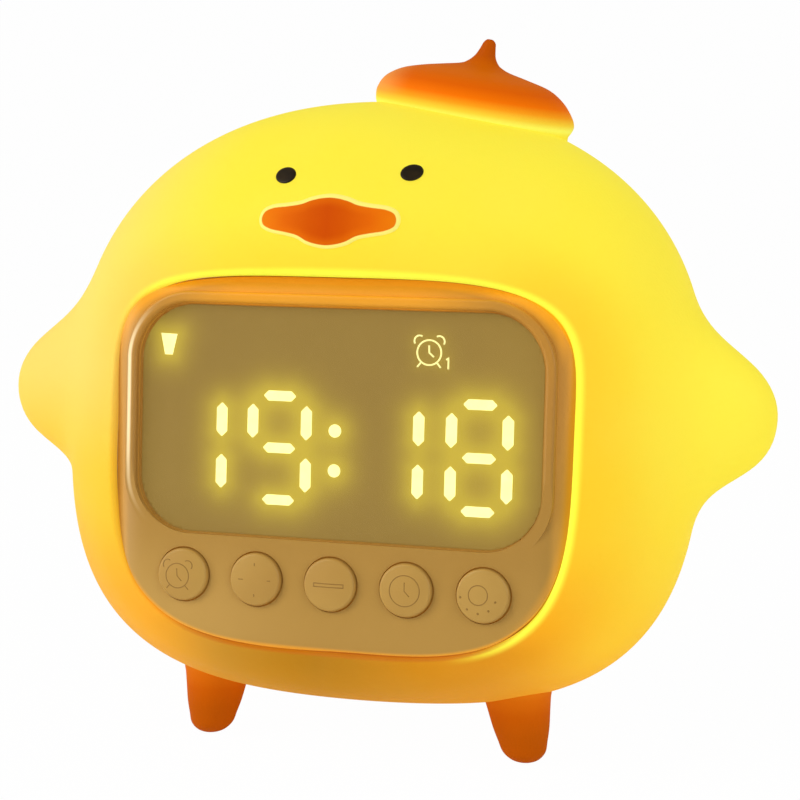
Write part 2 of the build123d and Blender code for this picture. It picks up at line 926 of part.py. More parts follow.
with BuildPart() as key_board:
    add(panel_prism(panel_wall + key_board_inset, key_board_back, key_board_face))
    with Locations(panel_plane), Locations((0, (key_board_top + key_board_base) / 2, key_board_back)):
        Box(
            2 * key_board_half_width,
            key_board_top - key_board_base,
            board_thickness,
            align=(Align.CENTER, Align.CENTER, Align.MIN),
            mode=Mode.INTERSECT,
        )
    with Locations(panel_plane), Locations(*[(u, v, key_board_back) for u, v in key_boss_places]):
        Cylinder(
            screw_radius + screw_hole_gap,
            board_thickness,
            align=(Align.CENTER, Align.CENTER, Align.MIN),
            mode=Mode.SUBTRACT,
        )

back_of_panel = Plane(origin=panel_plane.origin, x_dir=(-1, 0, 0), z_dir=-panel_plane.z_dir)


def seen_from_behind(places):
    """The same places for a plane that looks out of the back."""
    return [(-u, v) for u, v in places]


key_board_screws = screws(
    back_of_panel.offset(-key_board_back), seen_from_behind(key_boss_places), board_thickness + screw_bite
)
panel_screws = screws(
    back_of_panel.offset(-frame_back), seen_from_behind(panel_boss_places), frame_plate + screw_bite
)

# ================================================================ lamp shells
mid_wall = flattened(skin_thickness + skin_gap + shell_wall / 2)

with BuildPart() as frame_disc:
    with Locations(panel_plane), Locations((0, 0, frame_back)):
        Cylinder(far, frame_plate, align=(Align.CENTER, Align.CENTER, Align.MIN))
    add(mid_wall, mode=Mode.INTERSECT)
    with Locations(panel_plane), Locations((0, (frame_window_top + frame_window_base) / 2, frame_back)):
        Box(
            2 * frame_window_half_width,
            frame_window_top - frame_window_base,
            frame_plate,
            align=(Align.CENTER, Align.CENTER, Align.MIN),
            mode=Mode.SUBTRACT,
        )
    with Locations(panel_plane), Locations(*[(u, v, frame_back) for u, v in panel_boss_places]):
        Cylinder(
            screw_radius + screw_hole_gap,
            frame_plate,
            align=(Align.CENTER, Align.CENTER, Align.MIN),
            mode=Mode.SUBTRACT,
        )
    with Locations(panel_plane), Locations(*[(u, v, frame_back) for u, v in main_screw_places]):
        Cylinder(boss_radius, board_standoff, align=(Align.CENTER, Align.CENTER, Align.MAX))
    with Locations(panel_plane), Locations(*[(u, v, main_board_face) for u, v in main_screw_places]):
        Cylinder(
            screw_radius + screw_fit,
            screw_bite,
            align=(Align.CENTER, Align.CENTER, Align.MIN),
            mode=Mode.SUBTRACT,
        )

with BuildPart() as front_posts:
    with Locations(split_plane), Locations(*shell_post_places):
        Cylinder(shell_post_radius, shell_post_length, align=(Align.CENTER, Align.CENTER, Align.MAX))
    add(mid_wall, mode=Mode.INTERSECT)

with BuildPart() as rear_posts:
    with Locations(split_plane), Locations(*shell_post_places):
        Cylinder(shell_post_radius, far, align=(Align.CENTER, Align.CENTER, Align.MIN))
    add(mid_wall, mode=Mode.INTERSECT)

with BuildPart() as shell_blank:
    add(shell_form)
    add(shell_cavity, mode=Mode.SUBTRACT)
    with Locations(*foot_places):
        Cylinder(
            peg_radius + seat_gap,
            foot_top_z + peg_rise,
            align=(Align.CENTER, Align.CENTER, Align.MIN),
            mode=Mode.SUBTRACT,
        )

with BuildPart() as front_shell:
    add(shell_blank.part)
    split(bisect_by=split_plane, keep=Keep.BOTTOM)
    add(opening, mode=Mode.SUBTRACT)
    add(frame_disc.part)
    add(front_posts.part)
    with Locations(split_plane), Locations(*shell_post_places):
        Cylinder(
            screw_radius + screw_fit,
            screw_bite + screw_run_out,
            align=(Align.CENTER, Align.CENTER, Align.MAX),
            mode=Mode.SUBTRACT,
        )

cover_screw_places = [
    (x, cover_z + z) for z in (-cover_screw_z, cover_screw_z) for x in (-cover_screw_x, cover_screw_x)
]
cover_seat = back_view.offset(cover_seat_y)

with BuildPart() as cover_posts:
    with Locations(cover_seat.offset(-cover_post_length)), Locations(*cover_screw_places):
        Cylinder(
            cover_post_radius + cover_gap + cover_post_wall,
            far,
            align=(Align.CENTER, Align.CENTER, Align.MIN),
        )
    add(mid_wall, mode=Mode.INTERSECT)

with BuildPart() as rear_shell:
    add(shell_blank.part)
    split(bisect_by=split_plane, keep=Keep.TOP)
    add(rear_posts.part)
    add(cover_prism(cover_ledge), mode=Mode.SUBTRACT)
    add(cover_posts.part)
    with Locations(cover_seat), Locations(*cover_screw_places):
        Cylinder(
            cover_post_radius + cover_gap,
            far,
            align=(Align.CENTER, Align.CENTER, Align.MIN),
            mode=Mode.SUBTRACT,
        )
    with Locations(cover_seat), Locations(*cover_screw_places):
        Cylinder(
            screw_radius + screw_fit,
            screw_bite + screw_run_out,
            align=(Align.CENTER, Align.CENTER, Align.MAX),
            mode=Mode.SUBTRACT,
        )
    with Locations(split_plane), Locations(*shell_post_places):
        Cylinder(
            screw_radius + screw_hole_gap,
            far,
            align=(Align.CENTER, Align.CENTER, Align.MIN),
            mode=Mode.SUBTRACT,
        )
    with Locations(split_plane.offset(shell_screw_grip)), Locations(*shell_post_places):
        Cylinder(
            head_radius + screw_hole_gap,
            far,
            align=(Align.CENTER, Align.CENTER, Align.MIN),
            mode=Mode.SUBTRACT,
        )

shell_screws = screws(
    split_plane.offset(shell_screw_grip), shell_post_places, shell_screw_grip + screw_bite
)

# ================================================================ back cover
cover_outer = dome(cover_sink)
cover_inner = dome(cover_sink + cover_wall)
cover_mid = dome(cover_sink + cover_wall / 2)
speaker_spot = (0, speaker_z, speaker_face_y - cover_seat_y)

with BuildPart() as cover_fittings:
    with Locations(cover_seat), Locations(*cover_screw_places):
        Cylinder(cover_post_radius, far, align=(Align.CENTER, Align.CENTER, Align.MIN))
    with Locations(cover_seat), Locations((0, speaker_z, speaker_face_y - speaker_flange - cover_seat_y)):
        Cylinder(
            speaker_radius + speaker_gap + speaker_ring_wall,
            far,
            align=(Align.CENTER, Align.CENTER, Align.MIN),
        )
        Cylinder(
            speaker_radius + speaker_gap,
            speaker_flange,
            align=(Align.CENTER, Align.CENTER, Align.MIN),
            mode=Mode.SUBTRACT,
        )
        Cylinder(
            speaker_radius - speaker_flange_width,
            far,
            align=(Align.CENTER, Align.CENTER, Align.MIN),
            mode=Mode.SUBTRACT,
        )
    with Locations(cover_seat), Locations(
        *[(x, rail_top_z, charge_board_front_y + rail_set_back - cover_seat_y) for x in (-rail_x, rail_x)]
    ):
        Box(rail_width, rail_top_z - rail_base_z, far, align=(Align.CENTER, Align.MAX, Align.MIN))
    add(cover_mid, mode=Mode.INTERSECT)

with BuildPart() as back_cover:
    add(cover_prism(0))
    add(cover_outer, mode=Mode.INTERSECT)
    add(cover_inner, mode=Mode.SUBTRACT)
    add(cover_fittings.part)
    with Locations(cover_seat), Locations(*cover_screw_places):
        Cylinder(
            screw_radius + screw_hole_gap,
            far,
            align=(Align.CENTER, Align.CENTER, Align.MIN),
            mode=Mode.SUBTRACT,
        )
    with Locations(cover_seat), Locations(*[(x, z, cover_screw_grip) for x, z in cover_screw_places]):
        Cylinder(
            head_radius + screw_hole_gap,
            far,
            align=(Align.CENTER, Align.CENTER, Align.MIN),
            mode=Mode.SUBTRACT,
        )
    with Locations(cover_seat), Locations(speaker_spot):
        Cylinder(grille_hole_radius, far, align=(Align.CENTER, Align.CENTER, Align.MIN), mode=Mode.SUBTRACT)
    for ring_radius, ring_count in grille_rings:
        with Locations(speaker_spot):
            with PolarLocations(ring_radius, ring_count):
                Cylinder(
                    grille_hole_radius,
                    far,
                    align=(Align.CENTER, Align.CENTER, Align.MIN),
                    mode=Mode.SUBTRACT,
                )
    with BuildSketch(cover_seat):
        with Locations((0, port_z)):
            SlotOverall(port_width + 2 * port_gap, port_height + 2 * port_gap)
        with Locations((reset_hole_x, port_z)):
            Circle(reset_hole_radius)
    extrude(amount=far, mode=Mode.SUBTRACT)

cover_screws = screws(
    cover_seat.offset(cover_screw_grip), cover_screw_places, cover_screw_grip + screw_bite
)

# ================================================================ main board
with BuildPart(panel_plane) as main_board:
    with Locations((0, (main_board_top + main_board_base) / 2, main_board_back)):
        Box(
            2 * main_board_half_width,
            main_board_top - main_board_base,
            board_thickness,
            align=(Align.CENTER, Align.CENTER, Align.MIN),
        )
    with Locations(*[(u, v, main_board_back) for u, v in main_screw_places]):
        Cylinder(
            screw_radius + screw_hole_gap,
            board_thickness,
            align=(Align.CENTER, Align.CENTER, Align.MIN),
            mode=Mode.SUBTRACT,
        )
    with Locations(*[(u, v, main_board_back) for u, v in pin_places + header_places]):
        Cylinder(
            pin_hole_radius,
            board_thickness,
            align=(Align.CENTER, Align.CENTER, Align.MIN),
            mode=Mode.SUBTRACT,
        )


def chip(place, length, width, height):
    """A box-shaped component on the back of the main board."""
    with BuildPart(panel_plane) as body:
        with Locations((*place, main_board_back)):
            Box(length, width, height, align=(Align.CENTER, Align.CENTER, Align.MAX))
    return body


main_chip = chip(main_chip_place, chip_side, chip_side, chip_height)
driver_chip = chip(driver_place, driver_length, driver_width, chip_height)
crystal = chip(crystal_place, crystal_length, crystal_width, crystal_height)

with BuildPart(panel_plane) as capacitors:
    with Locations(*[(*place, main_board_back) for place in capacitor_places]):
        Cylinder(capacitor_radius, capacitor_height, align=(Align.CENTER, Align.CENTER, Align.MAX))

with BuildPart(panel_plane) as lead_sockets:
    with Locations(*[(*place, main_board_back) for place in socket_places]):
        Box(socket_width, socket_depth, socket_height, align=(Align.CENTER, Align.CENTER, Align.MAX))

main_board_screws = screws(
    back_of_panel.offset(-main_board_back),
    seen_from_behind(main_screw_places),
    board_thickness + screw_bite - screw_run_out,
)

# ================================================================ lamp
lamp_plane = Plane.XY.offset(lamp_z)
with BuildPart(panel_plane) as bracket_leg:
    with Locations((0, bracket_leg_base, frame_back)):
        Box(
            2 * bracket_half_width,
            bracket_leg_top - bracket_leg_base,
            bracket_plate,
            align=(Align.CENTER, Align.MIN, Align.MAX),
        )

leg_top = panel_plane.from_local_coords(Vector(0, bracket_leg_top, frame_back))

with BuildPart(lamp_plane.offset(-bracket_plate)) as lamp_screw_holes:
    with Locations(*lamp_screw_places):
        Cylinder(
            screw_radius + screw_fit,
            bracket_plate + lamp_board_thickness,
            align=(Align.CENTER, Align.CENTER, Align.MIN),
        )

with BuildPart() as lamp_bracket:
    add(bracket_leg.part)
    with Locations((0, leg_top.Y + seat_gap, lamp_z - bracket_plate)):
        Box(
            2 * bracket_half_width,
            bracket_reach_y - leg_top.Y - seat_gap,
            bracket_plate,
            align=(Align.CENTER, Align.MIN, Align.MIN),
        )
    add(lamp_screw_holes.part, mode=Mode.SUBTRACT)

with BuildPart() as lamp_board:
    with Locations((0, lamp_y, lamp_z)):
        Cylinder(lamp_radius, lamp_board_thickness, align=(Align.CENTER, Align.CENTER, Align.MIN))
    add(lamp_screw_holes.part, mode=Mode.SUBTRACT)

with BuildPart(lamp_plane.offset(lamp_board_thickness)) as lamp_leds:
    with Locations((0, lamp_y)):
        with PolarLocations(led_ring_radius, led_count):
            Box(led_length, led_width, led_height, align=(Align.CENTER, Align.CENTER, Align.MIN))

lamp_screws = screws(
    lamp_plane.offset(lamp_board_thickness), lamp_screw_places, lamp_board_thickness + bracket_plate
)

# ================================================================ battery
cell_n = frame_back - cradle_wall - cell_gap - cell_radius
cradle_half_height = cell_radius + cell_gap + cradle_wall
with BuildPart(panel_plane) as battery_cradle:
    with Locations((0, cell_v, frame_back)):
        Box(
            2 * cradle_half_length,
            2 * cradle_half_height,
            frame_back - cell_n + cradle_wrap,
            align=(Align.CENTER, Align.CENTER, Align.MAX),
        )
    with Locations((0, cell_v, cell_n)):
        Cylinder(cell_radius + cell_gap, far, rotation=(0, 90, 0), mode=Mode.SUBTRACT)

with BuildPart(panel_plane) as battery_cell:
    with Locations((0, cell_v, cell_n)):
        Cylinder(cell_radius, cell_length, rotation=(0, 90, 0))
        Cylinder(cell_cap_radius, cell_length + 2 * cell_cap_height, rotation=(0, 90, 0))

# ================================================================ speaker
speaker_axis_plane = Plane(origin=(0, 0, speaker_z), x_dir=(1, 0, 0), z_dir=(0, 0, 1))
speaker_axis = Axis((0, 0, speaker_z), (0, 1, 0))
flange_face = speaker_face_y
flange_rear = speaker_face_y - speaker_flange
basket_rear = flange_rear - speaker_basket_depth
basket_mouth = speaker_radius - speaker_flange_width - speaker_gap
cone_ledge = flange_face - speaker_ledge_depth
with BuildPart() as speaker_basket:
    with BuildSketch(speaker_axis_plane):
        Polygon(
            (0, basket_rear),
            (speaker_basket_radius, basket_rear),
            (basket_mouth, flange_rear),
            (speaker_radius, flange_rear),
            (speaker_radius, flange_face),
            (basket_mouth, flange_face),
            (basket_mouth, cone_ledge),
            (basket_mouth - speaker_wall, cone_ledge),
            (speaker_basket_radius - speaker_wall, basket_rear + speaker_wall),
            (0, basket_rear + speaker_wall),
            align=None,
        )
    revolve(axis=speaker_axis)

cone_rim = basket_mouth - speaker_gap
cone_well = cone_ledge - cone_depth
with BuildPart() as speaker_cone:
    with BuildSketch(speaker_axis_plane):
        Polygon(
            (0, cone_well + cap_rise),
            (cap_radius, cone_well),
            (cone_rim - speaker_wall, cone_ledge),
            (cone_rim, cone_ledge),
            (cone_rim, cone_ledge + cone_thickness),
            (cone_rim - speaker_wall, cone_ledge + cone_thickness),
            (cap_radius, cone_well + cone_thickness),
            (0, cone_well + cap_rise + cone_thickness),
            align=None,
        )
    revolve(axis=speaker_axis)

with BuildPart(back_view.offset(basket_rear)) as speaker_magnet:
    with Locations((0, speaker_z)):
        Cylinder(magnet_radius, magnet_height, align=(Align.CENTER, Align.CENTER, Align.MAX))
    fillet(speaker_magnet.edges(), magnet_round)

# ================================================================ charging board and its socket
charge_board_top = port_z - port_height / 2
with BuildPart(Plane.XY.offset(rail_top_z)) as charge_board:
    with Locations((0, charge_board_front_y)):
        Box(
            charge_board_width,
            charge_board_back_y - charge_board_front_y,
            charge_board_thickness,
            align=(Align.CENTER, Align.MIN, Align.MIN),
        )

with BuildPart(back_view.offset(port_mouth_y)) as charge_port:
    with BuildSketch(back_view.offset(port_mouth_y)):
        with Locations((0, port_z)):
            SlotOverall(port_width, port_height)
    extrude(amount=-port_length)
    with BuildSketch(back_view.offset(port_mouth_y)):
        with Locations((0, port_z)):
            SlotOverall(port_width - 2 * port_wall, port_height - 2 * port_wall)
    extrude(amount=-port_length + 2 * port_wall, mode=Mode.SUBTRACT)

with BuildPart(back_view.offset(port_mouth_y - port_length + 2 * port_wall)) as charge_port_tongue:
    with Locations((0, port_z)):
        Box(
            port_width - port_height,
            port_tongue,
            port_length - 4 * port_wall,
            align=(Align.CENTER, Align.CENTER, Align.MIN),
        )

with BuildPart(Plane.XY.offset(charge_board_top)) as charge_chip:
    with Locations((0, charge_board_front_y + charge_chip_side)):
        Box(
            charge_chip_side,
            charge_chip_side,
            chip_height,
            align=(Align.CENTER, Align.CENTER, Align.MIN),
        )

# ================================================================ leads
socket_face = main_board_back - socket_height - lead_standoff
battery_lead = lead(
    [
        on_panel(cell_length / 2 + cell_cap_height + lead_standoff, cell_v, cell_n),
        (36.0, -6.4, 28.8),
        (40.0, 0.5, 38.3),
        (36.0, 5.3, 46.9),
        on_panel(*battery_socket, socket_face),
    ]
)
speaker_lead = lead(
    [
        (-14.3, flange_rear - lead_standoff, speaker_z),
        (-17.0, 10.0, 71.0),
        (-26.0, 5.0, 62.0),
        on_panel(*speaker_socket, socket_face),
    ]
)
lamp_lead = lead(
    [
        (14.0, lamp_y, lamp_z - lead_standoff),
        (14.5, 8.5, 86.5),
        (15.5, 6.5, 79.5),
        on_panel(*lamp_socket, socket_face),
    ]
)
charge_lead = lead(
    [
        (-6.0, charge_board_front_y - lead_standoff, rail_top_z + charge_board_thickness / 2),
        (-8.0, 5.5, 47.5),
        (-16.0, 2.5, 43.0),
        on_panel(*charge_socket, socket_face),
    ]
)

# ================================================================ labels and files
pieces = {
    "body_skin": body_skin,
    "beret": beret,
    "beak": beak,
    "left_eye": left_eye,
    "right_eye": right_eye,
    "front_left_foot": front_left_foot,
    "front_right_foot": front_right_foot,
    "rear_left_foot": rear_left_foot,
    "rear_right_foot": rear_right_foot,
    "front_panel": front_panel,
    "display_window": display_window,
    "display_module": display_module,
    "digit_lenses": digit_lenses,
    "display_pins": display_pins,
    "key_header_pins": key_header_pins,
    "key_board": key_board,
    "switch_housings": switch_housings,
    "front_shell": front_shell,
    "rear_shell": rear_shell,
    "back_cover": back_cover,
    "main_board": main_board,
    "main_chip": main_chip,
    "driver_chip": driver_chip,
    "crystal": crystal,
    "capacitors": capacitors,
    "lead_sockets": lead_sockets,
    "lamp_bracket": lamp_bracket,
    "lamp_board": lamp_board,
    "lamp_leds": lamp_leds,
    "battery_cell": battery_cell,
    "battery_cradle": battery_cradle,
    "speaker_basket": speaker_basket,
    "speaker_cone": speaker_cone,
    "speaker_magnet": speaker_magnet,
    "charge_board": charge_board,
    "charge_port": charge_port,
    "charge_port_tongue": charge_port_tongue,
    "charge_chip": charge_chip,
    "panel_screws": panel_screws,
    "key_board_screws": key_board_screws,
    "main_board_screws": main_board_screws,
    "shell_screws": shell_screws,
    "cover_screws": cover_screws,
    "lamp_screws": lamp_screws,
    "battery_lead": battery_lead,
    "speaker_lead": speaker_lead,
    "lamp_lead": lamp_lead,
    "charge_lead": charge_lead,
}
for name in button_names:
    pieces[name + "_button"] = buttons[name]
    pieces[name + "_plunger"] = plungers[name]

for name, piece in pieces.items():
    piece.part.label = name
    export_step(piece.part, f"parts/{name}.step")
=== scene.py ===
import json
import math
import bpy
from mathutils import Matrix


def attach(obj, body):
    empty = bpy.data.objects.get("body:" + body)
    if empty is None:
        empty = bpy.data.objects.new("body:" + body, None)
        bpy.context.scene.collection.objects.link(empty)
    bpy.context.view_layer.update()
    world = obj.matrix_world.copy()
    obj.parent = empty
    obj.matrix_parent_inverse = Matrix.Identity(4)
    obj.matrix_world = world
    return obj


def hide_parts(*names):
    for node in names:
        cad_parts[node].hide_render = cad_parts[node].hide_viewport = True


bl_info = {
    "name": "Duckling alarm clock",
    "version": (1, 0, 0),
    "blender": (4, 5, 0),
    "location": "View3D > Sidebar > Clock",
    "description": "Dresses a duckling-shaped bedside clock with a night light",
    "category": "Object",
}

import bmesh
import bpy
import numpy as np
from mathutils import Matrix, Vector

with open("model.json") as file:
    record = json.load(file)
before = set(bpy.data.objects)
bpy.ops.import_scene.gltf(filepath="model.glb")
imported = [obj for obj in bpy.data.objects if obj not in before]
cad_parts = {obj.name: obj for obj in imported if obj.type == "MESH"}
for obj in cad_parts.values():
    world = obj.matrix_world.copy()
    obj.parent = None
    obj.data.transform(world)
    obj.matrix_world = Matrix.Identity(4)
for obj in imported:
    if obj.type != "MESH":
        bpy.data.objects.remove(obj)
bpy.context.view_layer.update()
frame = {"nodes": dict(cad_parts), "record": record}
NODES = frame["nodes"]

MM = 0.001
MAIN_BODY = "clock"
BUTTONS = ("alarm", "plus", "minus", "clock", "light")

# Places and sizes of the solids, in millimetres.
BODY_CENTRE = np.array((0.0, -2.6, 66.0))
BODY_LEAN = math.radians(11.0)
PANEL_CENTRE = np.array((0.0, -30.9, 58.1))
PANEL_LEAN = math.radians(5.0)
PANEL_HALF_WIDTH = 42.0
PANEL_MIDDLE = 6.0
PANEL_RISE, PANEL_TOP_POWER = 24.1, 4.1
PANEL_DROP, PANEL_BASE_POWER = 41.1, 3.65
PANEL_GAP = 0.2
FLAT_STAND, FLAT_LEAN = 2.3, math.radians(3.0)
COVER_CENTRE_Z = 68.0
COVER_HALF_WIDTH, COVER_HALF_HEIGHT, COVER_CORNER = 28.2, 26.2, 10.2
WINDOW_HALF_WIDTH, WINDOW_TOP, WINDOW_BASE, WINDOW_CORNER = 37.0, 25.0, -15.8, 10.0
BUTTON_PITCH, BUTTON_V, BUTTON_RADIUS = 13.8, -23.3, 4.7
BUTTON_STAND, BUTTON_RIM = 1.4, 0.9
WING_ROOT_X, WING_Y, WING_Z = 46.0, -5.0, 65.4

BODY_AXES = np.array(
    (
        (1, 0, 0),
        (0, math.cos(BODY_LEAN), -math.sin(BODY_LEAN)),
        (0, math.sin(BODY_LEAN), math.cos(BODY_LEAN)),
    )
)
PANEL_ACROSS = np.array((1.0, 0.0, 0.0))
PANEL_UP = np.array((0.0, math.sin(PANEL_LEAN), math.cos(PANEL_LEAN)))
PANEL_OUT = np.array((0.0, -math.cos(PANEL_LEAN), math.sin(PANEL_LEAN)))
FLAT_CENTRE = PANEL_CENTRE + FLAT_STAND * PANEL_OUT
FLAT_OUT = np.array((0.0, -math.cos(FLAT_LEAN), math.sin(FLAT_LEAN)))


# ---------------------------------------------------------------- settings a user would change
def length_setting(name, description, default):
    return bpy.props.FloatProperty(name=name, description=description, default=default, min=0.0)


def colour_setting(name, description, default):
    return bpy.props.FloatVectorProperty(
        name=name, description=description, default=tone(default)[:3], subtype="COLOR", size=3, min=0, max=1
    )


def tone(text):
    """A display colour such as FCE03A as linear red, green, blue and one."""
    channels = [int(text[place : place + 2], 16) / 255 for place in (0, 2, 4)]
    linear = [c / 12.92 if c <= 0.04045 else ((c + 0.055) / 1.055) ** 2.4 for c in channels]
    return (*linear, 1.0)


class SkinSettings(bpy.types.PropertyGroup):
    half_width: length_setting("Half width", "Half of the body's width in millimetres", 60.2)
    half_depth: length_setting("Half depth", "Half of the body's depth in millimetres", 37.7)
    rise: length_setting("Rise", "Height of the crown over the middle in millimetres", 52.5)
    drop: length_setting("Drop", "Depth of the base under the middle in millimetres", 57.9)
    thickness: length_setting("Wall", "Thickness of the silicone in millimetres", 2.5)
    lip: length_setting("Lip", "Radius of the rolled edge at the openings in millimetres", 0.9)
    flat_blend: length_setting("Flat blend", "Width of the bend round the flat front in millimetres", 5.0)
    wing_length: length_setting("Wing length", "Length of a wing from its root in millimetres", 27.6)
    wing_height: length_setting("Wing half height", "Half of a wing's height in millimetres", 15.5)
    wing_depth: length_setting("Wing half depth", "Half of a wing's thickness in millimetres", 10.0)
    wing_blend: length_setting("Wing blend", "Width of the bend at a wing's root in millimetres", 9.0)
    glow: bpy.props.FloatProperty(
        name="Glow", description="Strength of the night light in the skin", default=0.5, min=0.0
    )
    crown: colour_setting("Crown", "Colour of the lit skin at the crown", "FDEC3E")
    base: colour_setting("Base", "Colour of the lit skin at the base", "E8981A")


class BeretSettings(bpy.types.PropertyGroup):
    tilt: bpy.props.FloatProperty(
        name="Tilt", description="Tilt towards the side", default=math.radians(9.0), subtype="ANGLE"
    )
    cloth: colour_setting("Beret", "Colour of the beret round its middle", "E26200")


class FootSettings(bpy.types.PropertyGroup):
    top_radius: length_setting("Top radius", "Radius where a foot meets the skin in millimetres", 6.3)
    toe_radius: length_setting("Toe radius", "Radius of the rounded toe in millimetres", 4.5)
    splay: length_setting("Splay", "How far the toe stands outward in millimetres", 0.8)


class DisplaySettings(bpy.types.PropertyGroup):
    glow: bpy.props.FloatProperty(
        name="Digit glow", description="Strength of the lit digits", default=1.0, min=0.0
    )
    lit: colour_setting("Digits", "Colour of the lit digits", "FFFFA0")
    halo: length_setting("Halo", "Reach of the light round a digit in millimetres", 1.9)


class StageSettings(bpy.types.PropertyGroup):
    lens: bpy.props.FloatProperty(name="Lens", description="Focal length", default=88.04, min=10)
    key: bpy.props.FloatProperty(name="Key light", description="Power of the key lamp in watts", default=1.7)
    fill: bpy.props.FloatProperty(name="Sky", description="Strength of the even light", default=0.36)
    floor: colour_setting("Floor", "Colour of the floor and backdrop", "F4F4F2")


SETTINGS = {
    "clock_skin": SkinSettings,
    "clock_beret": BeretSettings,
    "clock_feet": FootSettings,
    "clock_display": DisplaySettings,
    "clock_stage": StageSettings,
}


# ---------------------------------------------------------------- forms
def body_distance(points, skin):
    """About how far points are outside the rounded body."""
    x, y, w = ((points - BODY_CENTRE) @ BODY_AXES.T).T
    radial = np.hypot(x, y * skin.half_width / skin.half_depth) / skin.half_width
    above = (radial**2.24 + np.clip(w / skin.rise, 0, None) ** 2.24) ** (1 / 2.24)
    below = (radial**3.13 + np.clip(-w / skin.drop, 0, None) ** 3.13) ** (1 / 3.13)
    share = np.where(w > 0, above, below) + 1e-6
    reach = np.sqrt(x * x + y * y + w * w)
    return reach * (1 - 1 / share)


def wing_distance(points, skin, side):
    """About how far points are outside one wing's lobe."""
    droop = math.radians(8.0)
    place = points - np.array((side * WING_ROOT_X, WING_Y, WING_Z))
    along = place @ np.array((side * math.cos(droop), 0, -math.sin(droop)))
    up = place @ np.array((side * math.sin(droop), 0, math.cos(droop)))
    deep = place[:, 1] * skin.wing_height / skin.wing_depth
    share = (np.hypot(up, deep) / skin.wing_height) ** 2.2 + np.abs(along / skin.wing_length) ** 2.2
    share = share ** (1 / 2.2) + 1e-6
    reach = np.sqrt(along**2 + up**2 + place[:, 1] ** 2)
    return reach * (1 - 1 / share)


def blend_out(first, second, width):
    """The union of two forms with a hollow bend of that width."""
    bend = np.clip(width - np.abs(first - second), 0, None) / width
    return np.minimum(first, second) - bend * bend * width / 4


def blend_in(first, second, width):
    """What two forms share, with a rounded bend of that width."""
    return -blend_out(-first, -second, width)


def flat_distance(points):
    return (points - FLAT_CENTRE) @ FLAT_OUT


def plain_form(points, skin):
    return blend_in(body_distance(points, skin), flat_distance(points), skin.flat_blend)


def skin_form(points, skin):
    form = body_distance(points, skin)
    for side in (-1, 1):
        form = blend_out(form, wing_distance(points, skin, side), skin.wing_blend)
    return blend_in(form, flat_distance(points), skin.flat_blend)


def surface_along(form, start, direction, low, high):
    """Points on rays where the form turns from inside to outside."""
    low = np.full(len(direction), float(low))
    high = np.full(len(direction), float(high))
    for _ in range(34):
        middle = (low + high) / 2
        outside = form(start + direction * middle[:, None]) > 0
        high = np.where(outside, middle, high)
        low = np.where(outside, low, middle)
    return start + direction * ((low + high) / 2)[:, None]


def slope(form, points):
    """The form's gradient at points."""
    step = 0.02
    parts = [form(points + shift) - form(points - shift) for shift in np.eye(3) * step]
    return np.stack(parts, -1) / (2 * step)


def unit(vectors):
    return vectors / np.linalg.norm(vectors, axis=-1, keepdims=True)


def even_loop(points, count):
    """A closed loop through dense points, divided evenly."""
    closed = np.vstack([points, points[:1]])
    travelled = np.concatenate([[0], np.cumsum(np.linalg.norm(np.diff(closed, axis=0), axis=1))])
    stations = np.linspace(0, travelled[-1], count, endpoint=False)
    return np.stack([np.interp(stations, travelled, column) for column in closed.T], -1)


def smooth_run(points, steps, closed=False):
    """A run through points with rounded bends, that many steps between each two."""
    points = np.asarray(points, float)
    if closed:
        padded = np.vstack([points[-1:], points, points[:2]])
    else:
        padded = np.vstack([2 * points[0] - points[1], points, 2 * points[-1] - points[-2]])
    run = []
    for a, b, c, d in zip(padded, padded[1:], padded[2:], padded[3:]):
        for t in np.arange(steps) / steps:
            square, cube = 2 * a - 5 * b + 4 * c - d, 3 * b - 3 * c + d - a
            run.append(0.5 * (2 * b + (c - a) * t + square * t**2 + cube * t**3))
    if not closed:
        run.append(points[-1])
    return np.array(run)


def panel_loop(grow, count):
    """The face panel's outline, grown all round, from its lowest point towards +X."""
    turns = np.linspace(-math.pi / 2, 3 * math.pi / 2, 1440, endpoint=False)
    across, up = np.cos(turns), np.sin(turns)
    rise, drop = PANEL_RISE + grow, PANEL_DROP + grow
    half = PANEL_HALF_WIDTH + grow
    top = (np.abs(across / half) ** PANEL_TOP_POWER + np.abs(up / rise) ** PANEL_TOP_POWER) ** (
        -1 / PANEL_TOP_POWER
    )
    base = (np.abs(across / half) ** PANEL_BASE_POWER + np.abs(up / drop) ** PANEL_BASE_POWER) ** (
        -1 / PANEL_BASE_POWER
    )
    reach = np.where(up > 0, top, base)
    return even_loop(np.stack([across * reach, PANEL_MIDDLE + up * reach], -1), count)


def cover_loop(grow, count):
    """The back cover's outline, grown all round, from its lowest point towards +X."""
    wide, high = COVER_HALF_WIDTH - COVER_CORNER, COVER_HALF_HEIGHT - COVER_CORNER
    corner = COVER_CORNER + grow
    dense = [(0, -high - corner)]
    for cx, cz, first in ((wide, -high, -90), (wide, high, 0), (-wide, high, 90), (-wide, -high, 180)):
        for turn in np.radians(np.linspace(first, first + 90, 40)):
            dense.append((cx + corner * math.cos(turn), cz + corner * math.sin(turn)))
    return even_loop(np.array(dense), count)


def on_panel(across, up, out):
    """Row points in millimetres from places on the face panel."""
    across, up, out = np.broadcast_arrays(across, up, out)
    return (
        PANEL_CENTRE
        + across[..., None] * PANEL_ACROSS
        + up[..., None] * PANEL_UP
        + out[..., None] * PANEL_OUT
    )


def ring_faces(rings, count, closed):
    """Four-sided faces between rings of count points."""
    faces = []
    for ring in range(rings if closed else rings - 1):
        near, far = ring * count, (ring + 1) % rings * count
        for place in range(count):
            after = (place + 1) % count
            faces.append((near + place, near + after, far + after, far + place))
    return faces


